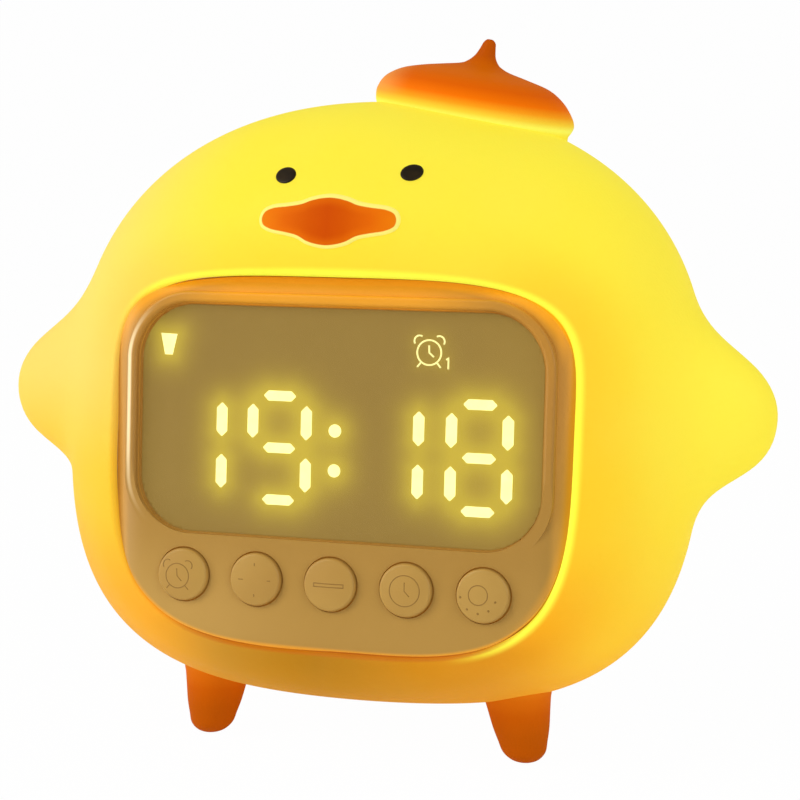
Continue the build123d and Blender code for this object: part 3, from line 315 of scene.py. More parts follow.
def seat_piece(name, mesh, body=MAIN_BODY, replaces=()):
    """An object for a closed mesh, with its faces turned outward, riding on a body."""
    work = bmesh.new()
    work.from_mesh(mesh)
    bmesh.ops.recalc_face_normals(work, faces=work.faces)
    work.to_mesh(mesh)
    work.free()
    piece = bpy.data.objects.new(name, mesh)
    bpy.context.scene.collection.objects.link(piece)
    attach(piece, body)
    if replaces:
        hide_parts(*replaces)
    return piece


def make_piece(name, points, faces, material, body=MAIN_BODY, replaces=(), rims=None, smooth=True):
    """A piece from millimetre points."""
    mesh = bpy.data.meshes.new(name)
    mesh.from_pydata((np.asarray(points) * MM).tolist(), [], faces)
    for label, values in (rims or {}).items():
        attribute = mesh.attributes.new(label, "FLOAT", "POINT")
        attribute.data.foreach_set("value", np.asarray(values, np.float32))
    mesh.polygons.foreach_set("use_smooth", [smooth] * len(mesh.polygons))
    mesh.materials.append(material)
    return seat_piece(name, mesh, body, replaces)


def lathe(profile, count):
    """Rings of a turned form from (radius, height) pairs, with four-sided faces between them."""
    turns = np.linspace(0, 2 * math.pi, count, endpoint=False)
    rings = [(r * np.cos(turns), r * np.sin(turns), np.full(count, h)) for r, h in profile]
    points = np.concatenate([np.stack(ring, -1) for ring in rings])
    return points, ring_faces(len(profile), count, False)


def cap_ends(points, faces, count):
    """Closes the first and last ring with a fan to its middle."""
    rings = len(points) // count
    first, last = points[:count].mean(0), points[-count:].mean(0)
    points = np.vstack([points, first, last])
    low, high = rings * count, rings * count + 1
    base = (rings - 1) * count
    for place in range(count):
        after = (place + 1) % count
        faces.append((after, place, low))
        faces.append((base + place, base + after, high))
    return points, faces


# ---------------------------------------------------------------- materials
class Shading:
    """Adds nodes to a tree; an input is a number, a colour or another node's output."""

    def __init__(self, tree):
        self.tree = tree

    def node(self, kind, inputs=None, **settings):
        node = self.tree.nodes.new(kind)
        for key, value in settings.items():
            setattr(node, key, value)
        for key, value in (inputs or {}).items():
            if isinstance(value, bpy.types.NodeSocket):
                self.tree.links.new(value, node.inputs[key])
            else:
                node.inputs[key].default_value = value
        return node

    def math(self, operation, *values, clamp=False):
        inputs = dict(enumerate(values))
        return self.node("ShaderNodeMath", inputs, operation=operation, use_clamp=clamp).outputs[0]

    def times(self, first, second):
        return self.math("MULTIPLY", first, second)

    def span(self, value, low, high):
        """0 at low to 1 at high, smoothly."""
        sizes = {"Value": value, "From Min": low, "From Max": high}
        return self.node("ShaderNodeMapRange", sizes, interpolation_type="SMOOTHSTEP").outputs[0]

    def mix(self, share, first, second, blend="MIX"):
        inputs = {0: share, 6: first, 7: second}
        return self.node("ShaderNodeMix", inputs, data_type="RGBA", blend_type=blend).outputs[2]

    def ramp(self, value, stops):
        node = self.node("ShaderNodeValToRGB", {0: value})
        while len(node.color_ramp.elements) < len(stops):
            node.color_ramp.elements.new(0.5)
        for element, (place, colour) in zip(node.color_ramp.elements, stops):
            element.position = place
            element.color = tone(colour) if isinstance(colour, str) else (*colour, 1.0)
        return node.outputs[0]

    def noise(self, scale, detail=3.0, rough=0.55):
        place = self.node("ShaderNodeTexCoord").outputs["Object"]
        inputs = {"Vector": place, "Scale": scale, "Detail": detail, "Roughness": rough}
        return self.node("ShaderNodeTexNoise", inputs).outputs[0]


def new_group(name, inputs, outputs):
    tree = bpy.data.node_groups.new(name, "ShaderNodeTree")
    for label, default in inputs:
        socket = tree.interface.new_socket(label, in_out="INPUT", socket_type="NodeSocketFloat")
        socket.default_value = default
    for label, kind in outputs:
        tree.interface.new_socket(label, in_out="OUTPUT", socket_type=kind)
    return tree, Shading(tree), tree.nodes.new("NodeGroupInput"), tree.nodes.new("NodeGroupOutput")


def build_panel_place():
    """Where a point is on the face panel: across, up and out in millimetres, and how far past its edge."""
    outputs = [(label, "NodeSocketFloat") for label in ("Across", "Up", "Out", "Past edge")]
    tree, shade, _, out = new_group("panel_place", [], outputs)
    place = shade.node("ShaderNodeTexCoord").outputs["Object"]
    origin = tuple(PANEL_CENTRE * MM)
    shifted = shade.node("ShaderNodeVectorMath", {0: place, 1: origin}, operation="SUBTRACT").outputs[0]
    parts = []
    for axis in (PANEL_ACROSS, PANEL_UP, PANEL_OUT):
        scaled = tuple(axis / MM)
        node = shade.node("ShaderNodeVectorMath", {0: shifted, 1: scaled}, operation="DOT_PRODUCT")
        parts.append(node.outputs["Value"])
    across, up, outward = parts
    side = shade.math("DIVIDE", shade.math("ABSOLUTE", across), PANEL_HALF_WIDTH)
    above = shade.math("SUBTRACT", up, PANEL_MIDDLE)
    metrics = []
    for sign, height, power in ((1, PANEL_RISE, PANEL_TOP_POWER), (-1, PANEL_DROP, PANEL_BASE_POWER)):
        level = shade.math("MAXIMUM", shade.times(above, sign / height), 0.0)
        total = shade.math("ADD", shade.math("POWER", side, power), shade.math("POWER", level, power))
        metrics.append(shade.math("POWER", total, 1 / power))
    is_top = shade.math("GREATER_THAN", above, 0.0)
    gap = shade.math("SUBTRACT", metrics[0], metrics[1])
    metric = shade.math("ADD", metrics[1], shade.times(gap, is_top))
    metric = shade.math("MAXIMUM", metric, 0.05)
    square = shade.math("ADD", shade.times(across, across), shade.times(above, above))
    reach = shade.math("SQRT", square)
    past = shade.times(reach, shade.math("SUBTRACT", 1.0, shade.math("DIVIDE", 1.0, metric)))
    for label, value in zip(("Across", "Up", "Out", "Past edge"), (across, up, outward, past)):
        tree.links.new(value, out.inputs[label])
    return tree


def build_window_place():
    """How far a point of the face panel is outside the window's outline, in millimetres."""
    tree, shade, _, out = new_group("window_place", [], [("Past", "NodeSocketFloat")])
    panel = group_node(shade, "panel_place")
    middle, half_height = (WINDOW_TOP + WINDOW_BASE) / 2, (WINDOW_TOP - WINDOW_BASE) / 2
    beyond = []
    sides = (panel["Across"], 0.0, WINDOW_HALF_WIDTH), (panel["Up"], middle, half_height)
    for place, centre, half in sides:
        away = shade.math("ABSOLUTE", shade.math("SUBTRACT", place, centre))
        beyond.append(shade.math("SUBTRACT", away, half - WINDOW_CORNER))
    squares = [shade.math("POWER", shade.math("MAXIMUM", part, 0.0), 2.0) for part in beyond]
    outer = shade.math("SQRT", shade.math("ADD", *squares))
    inner = shade.math("MINIMUM", shade.math("MAXIMUM", *beyond), 0.0)
    past = shade.math("SUBTRACT", shade.math("ADD", outer, inner), WINDOW_CORNER)
    tree.links.new(past, out.inputs["Past"])
    return tree


def build_fine_grain():
    """Moulding grain: a fine height and a slow change of tone."""
    tree, shade, given, out = new_group(
        "fine_grain",
        [("Scale", 900.0), ("Cloud", 25.0)],
        [("Height", "NodeSocketFloat"), ("Tone", "NodeSocketFloat")],
    )
    place = shade.node("ShaderNodeTexCoord").outputs["Object"]
    fine = shade.node("ShaderNodeTexNoise", {"Vector": place, "Scale": given.outputs["Scale"], "Detail": 2.0})
    slow = shade.node("ShaderNodeTexNoise", {"Vector": place, "Scale": given.outputs["Cloud"], "Detail": 3.0})
    tree.links.new(fine.outputs[0], out.inputs["Height"])
    tree.links.new(shade.span(slow.outputs[0], 0.3, 0.7), out.inputs["Tone"])
    return tree


GROUPS = {}


def group_node(shade, name, **inputs):
    builders = {
        "panel_place": build_panel_place,
        "window_place": build_window_place,
        "fine_grain": build_fine_grain,
    }
    if name not in GROUPS:
        GROUPS[name] = builders[name]()
    node = shade.node("ShaderNodeGroup", node_tree=GROUPS[name])
    for key, value in inputs.items():
        node.inputs[key].default_value = value
    return node.outputs


def new_material(name, roughness, **shine):
    material = bpy.data.materials.new(name)
    material.use_nodes = True
    tree = material.node_tree
    shader = tree.nodes["Principled BSDF"]
    shader.inputs["Roughness"].default_value = roughness
    for key, value in shine.items():
        shader.inputs[key.replace("_", " ")].default_value = value
    return material, Shading(tree), shader


def set_bump(shade, shader, height, distance, strength=1.0):
    inputs = {"Height": height, "Distance": distance, "Strength": strength}
    bump = shade.node("ShaderNodeBump", inputs)
    shade.tree.links.new(bump.outputs[0], shader.inputs["Normal"])


def lit_from_within(shade, shader, colour, glow, dim, boost=None):
    """The colour as a dimmer surface and its own light together; boost changes that light by place."""
    surface = shade.mix(1.0, colour, (dim, dim, dim, 1), "MULTIPLY")
    shade.tree.links.new(surface, shader.inputs["Base Color"])
    light = shade.mix(1.0, colour, boost, "MULTIPLY") if boost is not None else colour
    shade.tree.links.new(light, shader.inputs["Emission Color"])
    shader.inputs["Emission Strength"].default_value = glow


def object_parts(shade):
    place = shade.node("ShaderNodeTexCoord").outputs["Object"]
    scaled = shade.node("ShaderNodeVectorMath", {0: place, 1: (1 / MM,) * 3}, operation="MULTIPLY").outputs[0]
    return shade.node("ShaderNodeSeparateXYZ", {0: scaled}).outputs


def skin_material():
    skin = bpy.context.scene.clock_skin
    material, shade, shader = new_material("lit_yellow_silicone", 0.5, Specular_IOR_Level=0.06)
    x, y, z = object_parts(shade)
    panel = group_node(shade, "panel_place")
    across, up, past = panel["Across"], panel["Up"], panel["Past edge"]
    front = shade.span(y, -8.0, -26.0)
    level = shade.math("ADD", z, shade.times(x, 0.22))
    colour = shade.ramp(
        shade.math("DIVIDE", level, 120.0),
        (
            (0.07, skin.base),
            (0.17, "F6AC1E"),
            (0.29, "FCC828"),
            (0.42, "FDD22E"),
            (0.6, "FDE036"),
            (0.95, skin.crown),
        ),
    )
    # Painted glow: the skin round the panel's opening is painted golden, and deeper orange along its lower
    # half, as light leaking out round the panel.
    near = shade.times(shade.span(past, 15.0, 1.0), front)
    beside = shade.span(shade.math("ABSOLUTE", across), 18.0, 42.0)
    glow_round_panel = shade.times(near, shade.math("ADD", shade.times(beside, 0.4), 0.3))
    colour = shade.mix(glow_round_panel, colour, tone("FDC824"))
    low = shade.times(shade.span(up, -10.0, -34.0), near)
    colour = shade.mix(shade.times(low, 0.8), colour, tone("F8A00A"))
    # Painted shade: the skin below the panel is painted a darker ochre where the light inside is shadowed,
    # lighter away from the panel's edge.
    middle = shade.span(shade.math("ABSOLUTE", shade.math("SUBTRACT", across, 4.0)), 42.0, 22.0)
    under = shade.times(shade.span(up, -27.0, -34.0), shade.times(middle, front))
    shade_under_panel = shade.ramp(
        shade.span(across, -34.0, 34.0), ((0.0, "CC9028"), (0.45, "B67A0C"), (0.6, "BE7E08"), (1.0, "E09000"))
    )
    shade_under_panel = shade.mix(shade.times(shade.span(past, 1.0, 11.0), 0.5), shade_under_panel, tone("E8A430"))
    colour = shade.mix(under, colour, shade_under_panel)
    # Painted glow: the left side is painted paler, more so higher up, as a lit edge of the silhouette.
    high = shade.math("ADD", shade.times(shade.span(z, 50.0, 72.0), 0.42), 0.12)
    pale = shade.times(shade.span(x, -18.0, -58.0), high)
    colour = shade.mix(pale, colour, tone("F9DA84"))
    # Painted highlight: the right wing is painted a lighter lemon yellow.
    wing = shade.times(shade.span(x, 50.0, 66.0), 0.7)
    colour = shade.mix(wing, colour, tone("FDEE40"))
    # Painted highlight: a bright yellow line along the lip round the panel's opening, faint along the left
    # side.
    edge = shade.times(shade.span(past, 2.2, 0.8), front)
    shown = shade.math("MAXIMUM", shade.span(up, -26.0, 6.0), shade.span(across, 20.0, 34.0))
    shown = shade.times(shown, shade.span(across, -43.0, -30.0))
    colour = shade.mix(shade.times(edge, shown), colour, tone("FFFF46"))
    # Painted shade: a dark orange line along the lip below the panel, where the skin meets the panel.
    line = shade.times(shade.span(past, 1.1, 0.5), shade.times(under, 0.8))
    colour = shade.mix(line, colour, tone("C46A00"))
    grain = group_node(shade, "fine_grain", Scale=1400.0, Cloud=30.0)
    colour = shade.mix(shade.times(grain["Tone"], 0.04), colour, tone("FFF2A0"))
    # Painted light: the skin's glow is made up to 16 per cent stronger towards the right side.
    right = shade.times(shade.span(x, 5.0, 50.0), 0.16)
    boost = shade.math("ADD", right, 1.0)
    lit_from_within(shade, shader, colour, skin.glow, 0.56, boost)
    rough = shade.math("ADD", shade.times(grain["Tone"], 0.08), 0.44)
    shade.tree.links.new(rough, shader.inputs["Roughness"])
    shader.inputs["Subsurface Weight"].default_value = 0.15
    shader.inputs["Subsurface Scale"].default_value = 0.004
    set_bump(shade, shader, grain["Height"], 0.00004)
    return material


# ---------------------------------------------------------------- skin
SKIN_COLUMNS = 400
SKIN_ROWS = 150
INNER_STEP = 6


def front_ring(skin, grow, sink):
    """Points round the panel's opening, under the skin's surface by sink."""
    loop = panel_loop(grow, SKIN_COLUMNS)
    start = on_panel(loop[:, 0], loop[:, 1], 0.0)
    start = start - 25.0 * PANEL_OUT
    direction = np.broadcast_to(PANEL_OUT, start.shape)
    surface = surface_along(lambda p: skin_form(p, skin), start, direction, 0.0, 40.0)
    return surface - sink * PANEL_OUT


def back_ring(skin, grow, sink):
    """Points round the back cover's opening, under the skin's surface by sink."""
    loop = cover_loop(grow, SKIN_COLUMNS)
    start = np.stack([loop[:, 0], np.zeros(SKIN_COLUMNS), COVER_CENTRE_Z + loop[:, 1]], -1)
    direction = np.broadcast_to(np.array((0.0, 1.0, 0.0)), start.shape)
    surface = surface_along(lambda p: skin_form(p, skin), start, direction, 0.0, 60.0)
    return surface - sink * np.array((0.0, 1.0, 0.0))


def between(first, last, share):
    """Directions turned from one set to another."""
    turn = np.arccos(np.clip((first * last).sum(-1), -1, 1))[:, None]
    return (np.sin((1 - share) * turn) * first + np.sin(share * turn) * last) / np.sin(turn)


def lip_rings(ring, skin):
    """Rings from the surface round the rolled lip and down the opening's wall."""
    turns = np.radians((0, 22.5, 45, 67.5, 90))
    places = [(PANEL_GAP + skin.lip * (1 - math.sin(t)), skin.lip * (1 - math.cos(t))) for t in turns]
    places.append((PANEL_GAP, skin.thickness))
    return [ring(skin, grow, sink) for grow, sink in places]


def relax(grid, form, rounds):
    """Evens out the grid's spacing while it stays on the form's surface."""
    for _ in range(rounds):
        inner = grid[1:-1]
        middle = (grid[:-2] + grid[2:] + np.roll(inner, 1, axis=1) + np.roll(inner, -1, axis=1)) / 4
        points = (inner + middle) / 2
        points = points.reshape(-1, 3)
        for _ in range(2):
            gradient = slope(form, points)
            points = points - gradient * (form(points) / (gradient**2).sum(-1))[:, None]
        grid[1:-1] = points.reshape(inner.shape)
    return grid


class CLOCK_OT_skin(bpy.types.Operator):
    """Models the silicone skin with its wings and its rolled openings"""

    bl_idname = "clock.skin"
    bl_label = "Skin"

    def execute(self, context):
        skin = context.scene.clock_skin
        front = lip_rings(front_ring, skin)
        back = lip_rings(back_ring, skin)
        first, last = unit(front[0] - BODY_CENTRE), unit(back[0] - BODY_CENTRE)
        rows = [front[0]]
        for share in np.linspace(0, 1, SKIN_ROWS)[1:-1]:
            direction = between(first, last, share)
            rows.append(surface_along(lambda p: skin_form(p, skin), BODY_CENTRE, direction, 15.0, 110.0))
        rows.append(back[0])
        grid = relax(np.array(rows), lambda p: skin_form(p, skin), 14)
        inner = []
        for share in np.linspace(1, 0, SKIN_ROWS)[INNER_STEP:-INNER_STEP:INNER_STEP]:
            direction = between(first, last, share)
            inner.append(
                surface_along(
                    lambda p: plain_form(p, skin) + skin.thickness, BODY_CENTRE, direction, 15.0, 110.0
                )
            )
        rings = [*grid, *back[1:], *inner, *front[:0:-1]]
        points = np.concatenate(rings)
        faces = ring_faces(len(rings), SKIN_COLUMNS, True)
        make_piece("skin", points, faces, skin_material(), replaces=("body_skin",))
        return {"FINISHED"}


# ---------------------------------------------------------------- beret
BERET_CENTRE = np.array((15.1, 7.0, 116.2))
BERET_DEPTH_SHARE = 0.81
BERET_RINGS = (
    # middle's offset to the side, radius, height
    (0.0, 18.0, -1.6),
    (0.0, 18.6, -0.5),
    (-0.05, 18.8, 0.6),
    (-0.4, 18.4, 2.2),
    (-0.75, 16.85, 4.4),
    (-0.8, 14.0, 6.25),
    (-1.05, 9.95, 7.4),
    (-0.85, 6.25, 8.2),
    (-0.1, 4.0, 8.8),
    (0.13, 2.93, 9.4),
    (0.4, 1.95, 10.6),
    (0.68, 1.4, 12.2),
    (0.8, 1.15, 13.1),
    (0.8, 0.6, 13.7),
    (0.8, 0.02, 13.8),
)


def beret_material():
    beret = bpy.context.scene.clock_beret
    material, shade, shader = new_material("lit_orange_silicone", 0.55, Specular_IOR_Level=0.04)
    place = shade.node("ShaderNodeTexCoord").outputs["Object"]
    origin = tuple(BERET_CENTRE * MM)
    shifted = shade.node("ShaderNodeVectorMath", {0: place, 1: origin}, operation="SUBTRACT").outputs[0]
    rise = (math.sin(beret.tilt) / MM, 0, math.cos(beret.tilt) / MM)
    along = shade.node("ShaderNodeVectorMath", {0: shifted, 1: rise}, operation="DOT_PRODUCT")
    height = along.outputs["Value"]
    side = shade.node("ShaderNodeSeparateXYZ", {0: shifted}).outputs[0]
    # The lowest stops are the skin's yellow, with a painted highlight: a bright line where the beret meets
    # the crown.
    low = shade.ramp(
        shade.span(height, -2.0, 14.0),
        (
            (0.0, "FDEA3C"),
            (0.024, "FFFF66"),
            (0.07, "FFD63A"),
            (0.15, "FFA018"),
            (0.25, "F67400"),
            (0.42, beret.cloth),
            (0.64, "DA6A00"),
            (0.9, "BC5200"),
        ),
    )
    # Painted light: the beret's lower left side is painted a paler peach.
    left_side_light = shade.times(shade.span(side, -0.0085, -0.0175), shade.span(height, 0.0, 3.0))
    colour = shade.mix(shade.times(left_side_light, 0.6), low, tone("FAB45C"))
    lit_from_within(shade, shader, colour, 0.5, 0.56)
    grain = group_node(shade, "fine_grain", Scale=1500.0, Cloud=40.0)
    set_bump(shade, shader, grain["Height"], 0.00004)
    return material


class CLOCK_OT_beret(bpy.types.Operator):
    """Models the beret with its stem, seated on the crown"""

    bl_idname = "clock.beret"
    bl_label = "Beret"

    def execute(self, context):
        skin, tilt = context.scene.clock_skin, context.scene.clock_beret.tilt
        count = 128
        turns = np.linspace(0, 2 * math.pi, count, endpoint=False)
        across = np.array((math.cos(tilt), 0.0, -math.sin(tilt)))
        up = np.array((math.sin(tilt), 0.0, math.cos(tilt)))
        deep = np.array((0.0, 1.0, 0.0))
        rings = []
        for shift, radius, height in smooth_run(BERET_RINGS, 5):
            rings.append(
                BERET_CENTRE
                + (shift + radius * np.cos(turns))[:, None] * across
                + (radius * BERET_DEPTH_SHARE * np.sin(turns))[:, None] * deep
                + height * up
            )
        start = rings[0] - 14.0 * up
        direction = np.broadcast_to(up, start.shape)
        foot = surface_along(lambda p: skin_form(p, skin) + 0.8, start, direction, 0.0, 20.0)
        below = ((foot - rings[0]) @ up) < -0.3
        foot = np.where(below[:, None], foot, rings[0] - 0.3 * up)
        skirt = [foot + (rings[0] - foot) * share for share in (0, 0.25, 0.5, 0.75)]
        points = np.concatenate([*skirt, *rings])
        faces = ring_faces(len(skirt) + len(rings), count, False)
        points, faces = cap_ends(points, faces, count)
        make_piece("beret_cap", points, faces, beret_material(), replaces=("beret",))
        return {"FINISHED"}


# ---------------------------------------------------------------- beak and eyes
BEAK_MIDDLE = np.array((-1.2, 98.2))
BEAK_RIGHT = (
    # across, over the beak's middle, from its lower tip to its upper
    (3.4, -4.25),
    (5.6, -3.2),
    (7.9, -2.7),
    (10.5, -2.25),
    (12.3, -1.4),
    (12.85, 0.1),
    (12.2, 1.65),
    (10.4, 2.5),
    (7.7, 2.85),
    (5.3, 3.25),
    (3.1, 4.0),
)
BEAK_DROP, BEAK_RISE = 4.85, 4.45
EYE_PLACES = (-10.55, 105.6), (12.15, 106.25)
EYE_HALF_WIDTH, EYE_HALF_HEIGHT = 1.95, 1.38


def front_patch(outline, middle, skin, bulge, sink, rings):
    """A cushioned patch on the skin's front from its outline, and each point's way in from that outline."""
    shares = 1 - np.linspace(0, 1, rings) ** 1.35
    points, rims = [], []
    for share in shares:
        loop = middle + (outline - middle) * max(share, 0.02)
        start = np.stack([loop[:, 0], np.full(len(loop), -80.0), loop[:, 1]], -1)
        direction = np.broadcast_to(np.array((0.0, 1.0, 0.0)), start.shape)
        surface = surface_along(lambda p: -skin_form(p, skin), start, direction, 0.0, 75.0)
        lift = bulge * (1 - share**5) ** 0.5
        surface[:, 1] -= lift
        points.append(surface)
        rims.append(np.linalg.norm(loop[:, None] - outline[None], axis=2).min(1))
    wall = points[0].copy()
    wall[:, 1] += sink
    points.insert(0, wall)
    rims.insert(0, np.zeros(len(outline)))
    points = np.concatenate(points)
    faces = ring_faces(rings + 1, len(outline), False)
    points, faces = cap_ends(points, faces, len(outline))
    return points, faces, np.concatenate([*rims, [0.0, rims[-1].mean()]])


def beak_material():
    material, shade, shader = new_material("beak_silicone", 0.55, Specular_IOR_Level=0.03)
    rim = shade.node("ShaderNodeAttribute", attribute_name="rim").outputs["Fac"]
    x, _, z = object_parts(shade)
    side = shade.math("ABSOLUTE", shade.math("SUBTRACT", x, float(BEAK_MIDDLE[0])))
    body = shade.ramp(
        shade.math("DIVIDE", side, 13.0),
        ((0.0, "CC4C00"), (0.25, "D25400"), (0.6, "E26604"), (0.85, "EC7A08"), (1.0, "E98C10")),
    )
    edge = shade.times(shade.span(rim, 2.4, 0.7), 0.5)
    body = shade.mix(edge, body, tone("EC7408"))
    colour = shade.mix(shade.span(rim, 0.72, 0.56), body, tone("FFF27C"))
    lit_from_within(shade, shader, colour, 0.5, 0.56)
    grain = group_node(shade, "fine_grain", Scale=1600.0, Cloud=60.0)
    set_bump(shade, shader, grain["Height"], 0.00003)
    return material


class CLOCK_OT_face(bpy.types.Operator):
    """Models the beak and the two eyes on the skin"""

    bl_idname = "clock.face"
    bl_label = "Beak and eyes"

    def execute(self, context):
        skin = context.scene.clock_skin
        left = [(-across, up) for across, up in reversed(BEAK_RIGHT)]
        corners = [(0.0, -BEAK_DROP), *BEAK_RIGHT, (0.0, BEAK_RISE), *left]
        outline = BEAK_MIDDLE + smooth_run(corners, 8, closed=True)
        points, faces, rims = front_patch(outline, BEAK_MIDDLE, skin, 0.8, 1.2, 40)
        make_piece(
            "beak_pad", points, faces, beak_material(), replaces=("beak",),
            rims={"rim": rims},
        )
        material, shade, shader = new_material("eye_silicone", 0.42, Specular_IOR_Level=0.15)
        cloud = shade.ramp(shade.noise(400.0), ((0.3, "1C1408"), (0.7, "2E220E")))
        shade.tree.links.new(cloud, shader.inputs["Base Color"])
        set_bump(shade, shader, shade.noise(1800.0), 0.00003)
        for place, name in zip(EYE_PLACES, ("left_eye", "right_eye")):
            turns = np.linspace(0, 2 * math.pi, 64, endpoint=False)
            middle = np.array(place)
            outline = middle + np.stack([EYE_HALF_WIDTH * np.cos(turns), EYE_HALF_HEIGHT * np.sin(turns)], -1)
            points, faces, _ = front_patch(outline, middle, skin, 0.45, 1.0, 14)
            make_piece(name + "_bead", points, faces, material, replaces=(name,))
        return {"FINISHED"}


# ---------------------------------------------------------------- feet
FOOT_PLACES = {
    "front_left_foot": (-29.5, -14.8),
    "front_right_foot": (30.2, -14.8),
    "rear_left_foot": (-23.5, 15.5),
    "rear_right_foot": (23.5, 15.5),
}
# The rear feet are slimmer at the root, where the skin turns up steeply.
REAR_FOOT_SHARE = 0.85


def foot_material():
    material, shade, shader = new_material("foot_silicone", 0.55, Specular_IOR_Level=0.04)
    x, y, z = object_parts(shade)
    colour = shade.ramp(
        shade.span(z, 0.0, 18.0),
        ((0.0, "BC5600"), (0.25, "C05800"), (0.55, "CE5E00"), (0.8, "E07008"), (1.0, "F08E18")),
    )
    grain = group_node(shade, "fine_grain", Scale=1500.0, Cloud=60.0)
    colour = shade.mix(shade.times(grain["Tone"], 0.08), colour, tone("DC7410"))
    lit_from_within(shade, shader, colour, 0.42, 0.6)
    set_bump(shade, shader, grain["Height"], 0.00004)
    return material


class CLOCK_OT_feet(bpy.types.Operator):
    """Models the four tapered stub feet"""

    bl_idname = "clock.feet"
    bl_label = "Feet"

    def execute(self, context):
        feet, skin = context.scene.clock_feet, context.scene.clock_skin
        material = foot_material()
        count = 72
        toe = feet.toe_radius
        for name, (x, y) in FOOT_PLACES.items():
            height = 30.0
            root = feet.top_radius * (REAR_FOOT_SHARE if y > 0 else 1.0)
            profile = smooth_run(
                (
                    (0.4, 0.0),
                    (toe * 0.3, 0.0),
                    (toe * 0.62, 0.6),
                    (toe * 0.88, 1.9),
                    (toe, 3.8),
                    (toe * 0.65 + root * 0.35, 6.3),
                    (toe * 0.35 + root * 0.65, 9.5),
                    (root, 13.5),
                    (root * 1.04, 17.0),
                    (root * 1.04, height),
                ),
                6,
            )
            profile[:, 1] = np.clip(profile[:, 1], 0, None)
            points, faces = lathe(profile, count)
            lean = (1 - np.clip(points[:, 2] / 6.0, 0, 2)) * feet.splay * math.copysign(1, x)
            points = points + np.array((x, y, 0.0))
            points[:, 0] += lean
            top = surface_along(
                lambda p: -skin_form(p, skin) - 1.0,
                np.stack([points[:, 0], points[:, 1], np.zeros(len(points))], -1),
                np.broadcast_to(np.array((0.0, 0.0, 1.0)), points.shape),
                0.0,
                60.0,
            )
            points[:, 2] = np.minimum(points[:, 2], top[:, 2])
            points, faces = cap_ends(points, faces, count)
            make_piece(name + "_stub", points, faces, material, replaces=(name,))
        return {"FINISHED"}


# ---------------------------------------------------------------- face panel
def panel_material():
    material, shade, shader = new_material("tan_panel_plastic", 0.42, Specular_IOR_Level=0.25)
    panel = group_node(shade, "panel_place")
    across, up, past = panel["Across"], panel["Up"], panel["Past edge"]
    beyond = group_node(shade, "window_place")["Past"]
    colour = shade.ramp(
        shade.span(up, -36.0, 30.0),
        ((0.0, "B68D42"), (0.2, "B0863C"), (0.45, "B28438"), (0.8, "BA8436"), (1.0, "C28830")),
    )
    left = shade.span(across, -34.0, -42.0)
    colour = shade.mix(shade.times(left, 0.5), colour, tone("C4985C"))
    # Painted highlight: the lower left of the panel is painted lighter, as its rounded edge catching the
    # light.
    corner = shade.times(shade.span(across, 4.0, -34.0), shade.span(up, -12.0, -30.0))
    colour = shade.mix(shade.times(corner, 0.6), colour, tone("CCA256"))
    # Painted glow: orange light from the lit skin spilling onto the panel's top border, its right edge and
    # its base, in colour and in emission.
    rim = shade.span(past, -3.2, -0.3)
    upper = shade.times(rim, shade.span(up, 14.0, 25.0))
    centred = shade.span(shade.math("ABSOLUTE", shade.math("ADD", across, 2.0)), 34.0, 14.0)
    wide = shade.times(centred, shade.span(up, 22.0, 27.0))
    upper = shade.math("MAXIMUM", upper, shade.times(wide, 0.72))
    upper = shade.times(upper, 0.66)
    right = shade.times(shade.span(past, -1.8, -0.1), shade.span(across, 28.0, 40.0))
    skin_glow_spill = shade.math("MAXIMUM", upper, shade.times(right, 0.25))
    base = shade.times(shade.span(past, -0.7, 0.0), shade.span(up, -20.0, -30.0))
    skin_glow_spill = shade.math("MAXIMUM", skin_glow_spill, shade.times(base, 0.5))
    colour = shade.mix(skin_glow_spill, colour, tone("EC9C04"))
    # Painted highlight: a cream line on the left flank of the ridge round the window, fading towards its top
    # and bottom, in colour and in emission.
    crest_highlight = shade.times(shade.span(beyond, 1.0, 1.4), shade.span(beyond, 2.0, 1.6))
    crest_highlight = shade.times(crest_highlight, shade.span(across, -31.0, -38.0))
    crest_highlight = shade.times(crest_highlight, shade.span(up, -15.0, 4.0))
    crest_highlight = shade.times(crest_highlight, shade.math("SUBTRACT", 1.0, shade.span(up, 14.0, 27.0)))
    grain = group_node(shade, "fine_grain", Scale=2600.0, Cloud=35.0)
    colour = shade.mix(shade.times(grain["Tone"], 0.06), colour, tone("D0A860"))
    colour = shade.mix(shade.times(crest_highlight, 0.7), colour, tone("FFF0C4"))
    shade.tree.links.new(colour, shader.inputs["Base Color"])
    # Painted glow: a brown light on surfaces sunk deeper than the panel's face, inside its holes and gaps.
    deep = shade.span(panel["Out"], -0.3, -0.8)
    glow = shade.mix(deep, (0, 0, 0, 1), tone("8A5C18"))
    glow = shade.mix(skin_glow_spill, glow, tone("FFA404"))
    glow = shade.mix(shade.times(crest_highlight, 0.8), glow, tone("FFDCA0"))
    shade.tree.links.new(glow, shader.inputs["Emission Color"])
    shader.inputs["Emission Strength"].default_value = 0.42
    set_bump(shade, shader, grain["Height"], 0.00002)
    return material


def window_material():
    material, shade, shader = new_material("smoked_window", 0.28, Specular_IOR_Level=0.3)
    panel = group_node(shade, "panel_place")
    cloud = shade.span(shade.noise(18.0, 2.0), 0.35, 0.65)
    colour = shade.mix(cloud, tone("9C8040"), tone("97793C"))
    right = shade.span(panel["Across"], -20.0, 40.0)
    colour = shade.mix(shade.times(right, 0.4), colour, tone("94793A"))
    shade.tree.links.new(colour, shader.inputs["Base Color"])
    shader.inputs["Alpha"].default_value = 0.16
    return material


class CLOCK_OT_panel(bpy.types.Operator):
    """Finishes the face panel and the smoked window"""

    bl_idname = "clock.panel"
    bl_label = "Face panel"

    def execute(self, context):
        paint("front_panel", panel_material())
        paint("display_window", window_material())
        return {"FINISHED"}


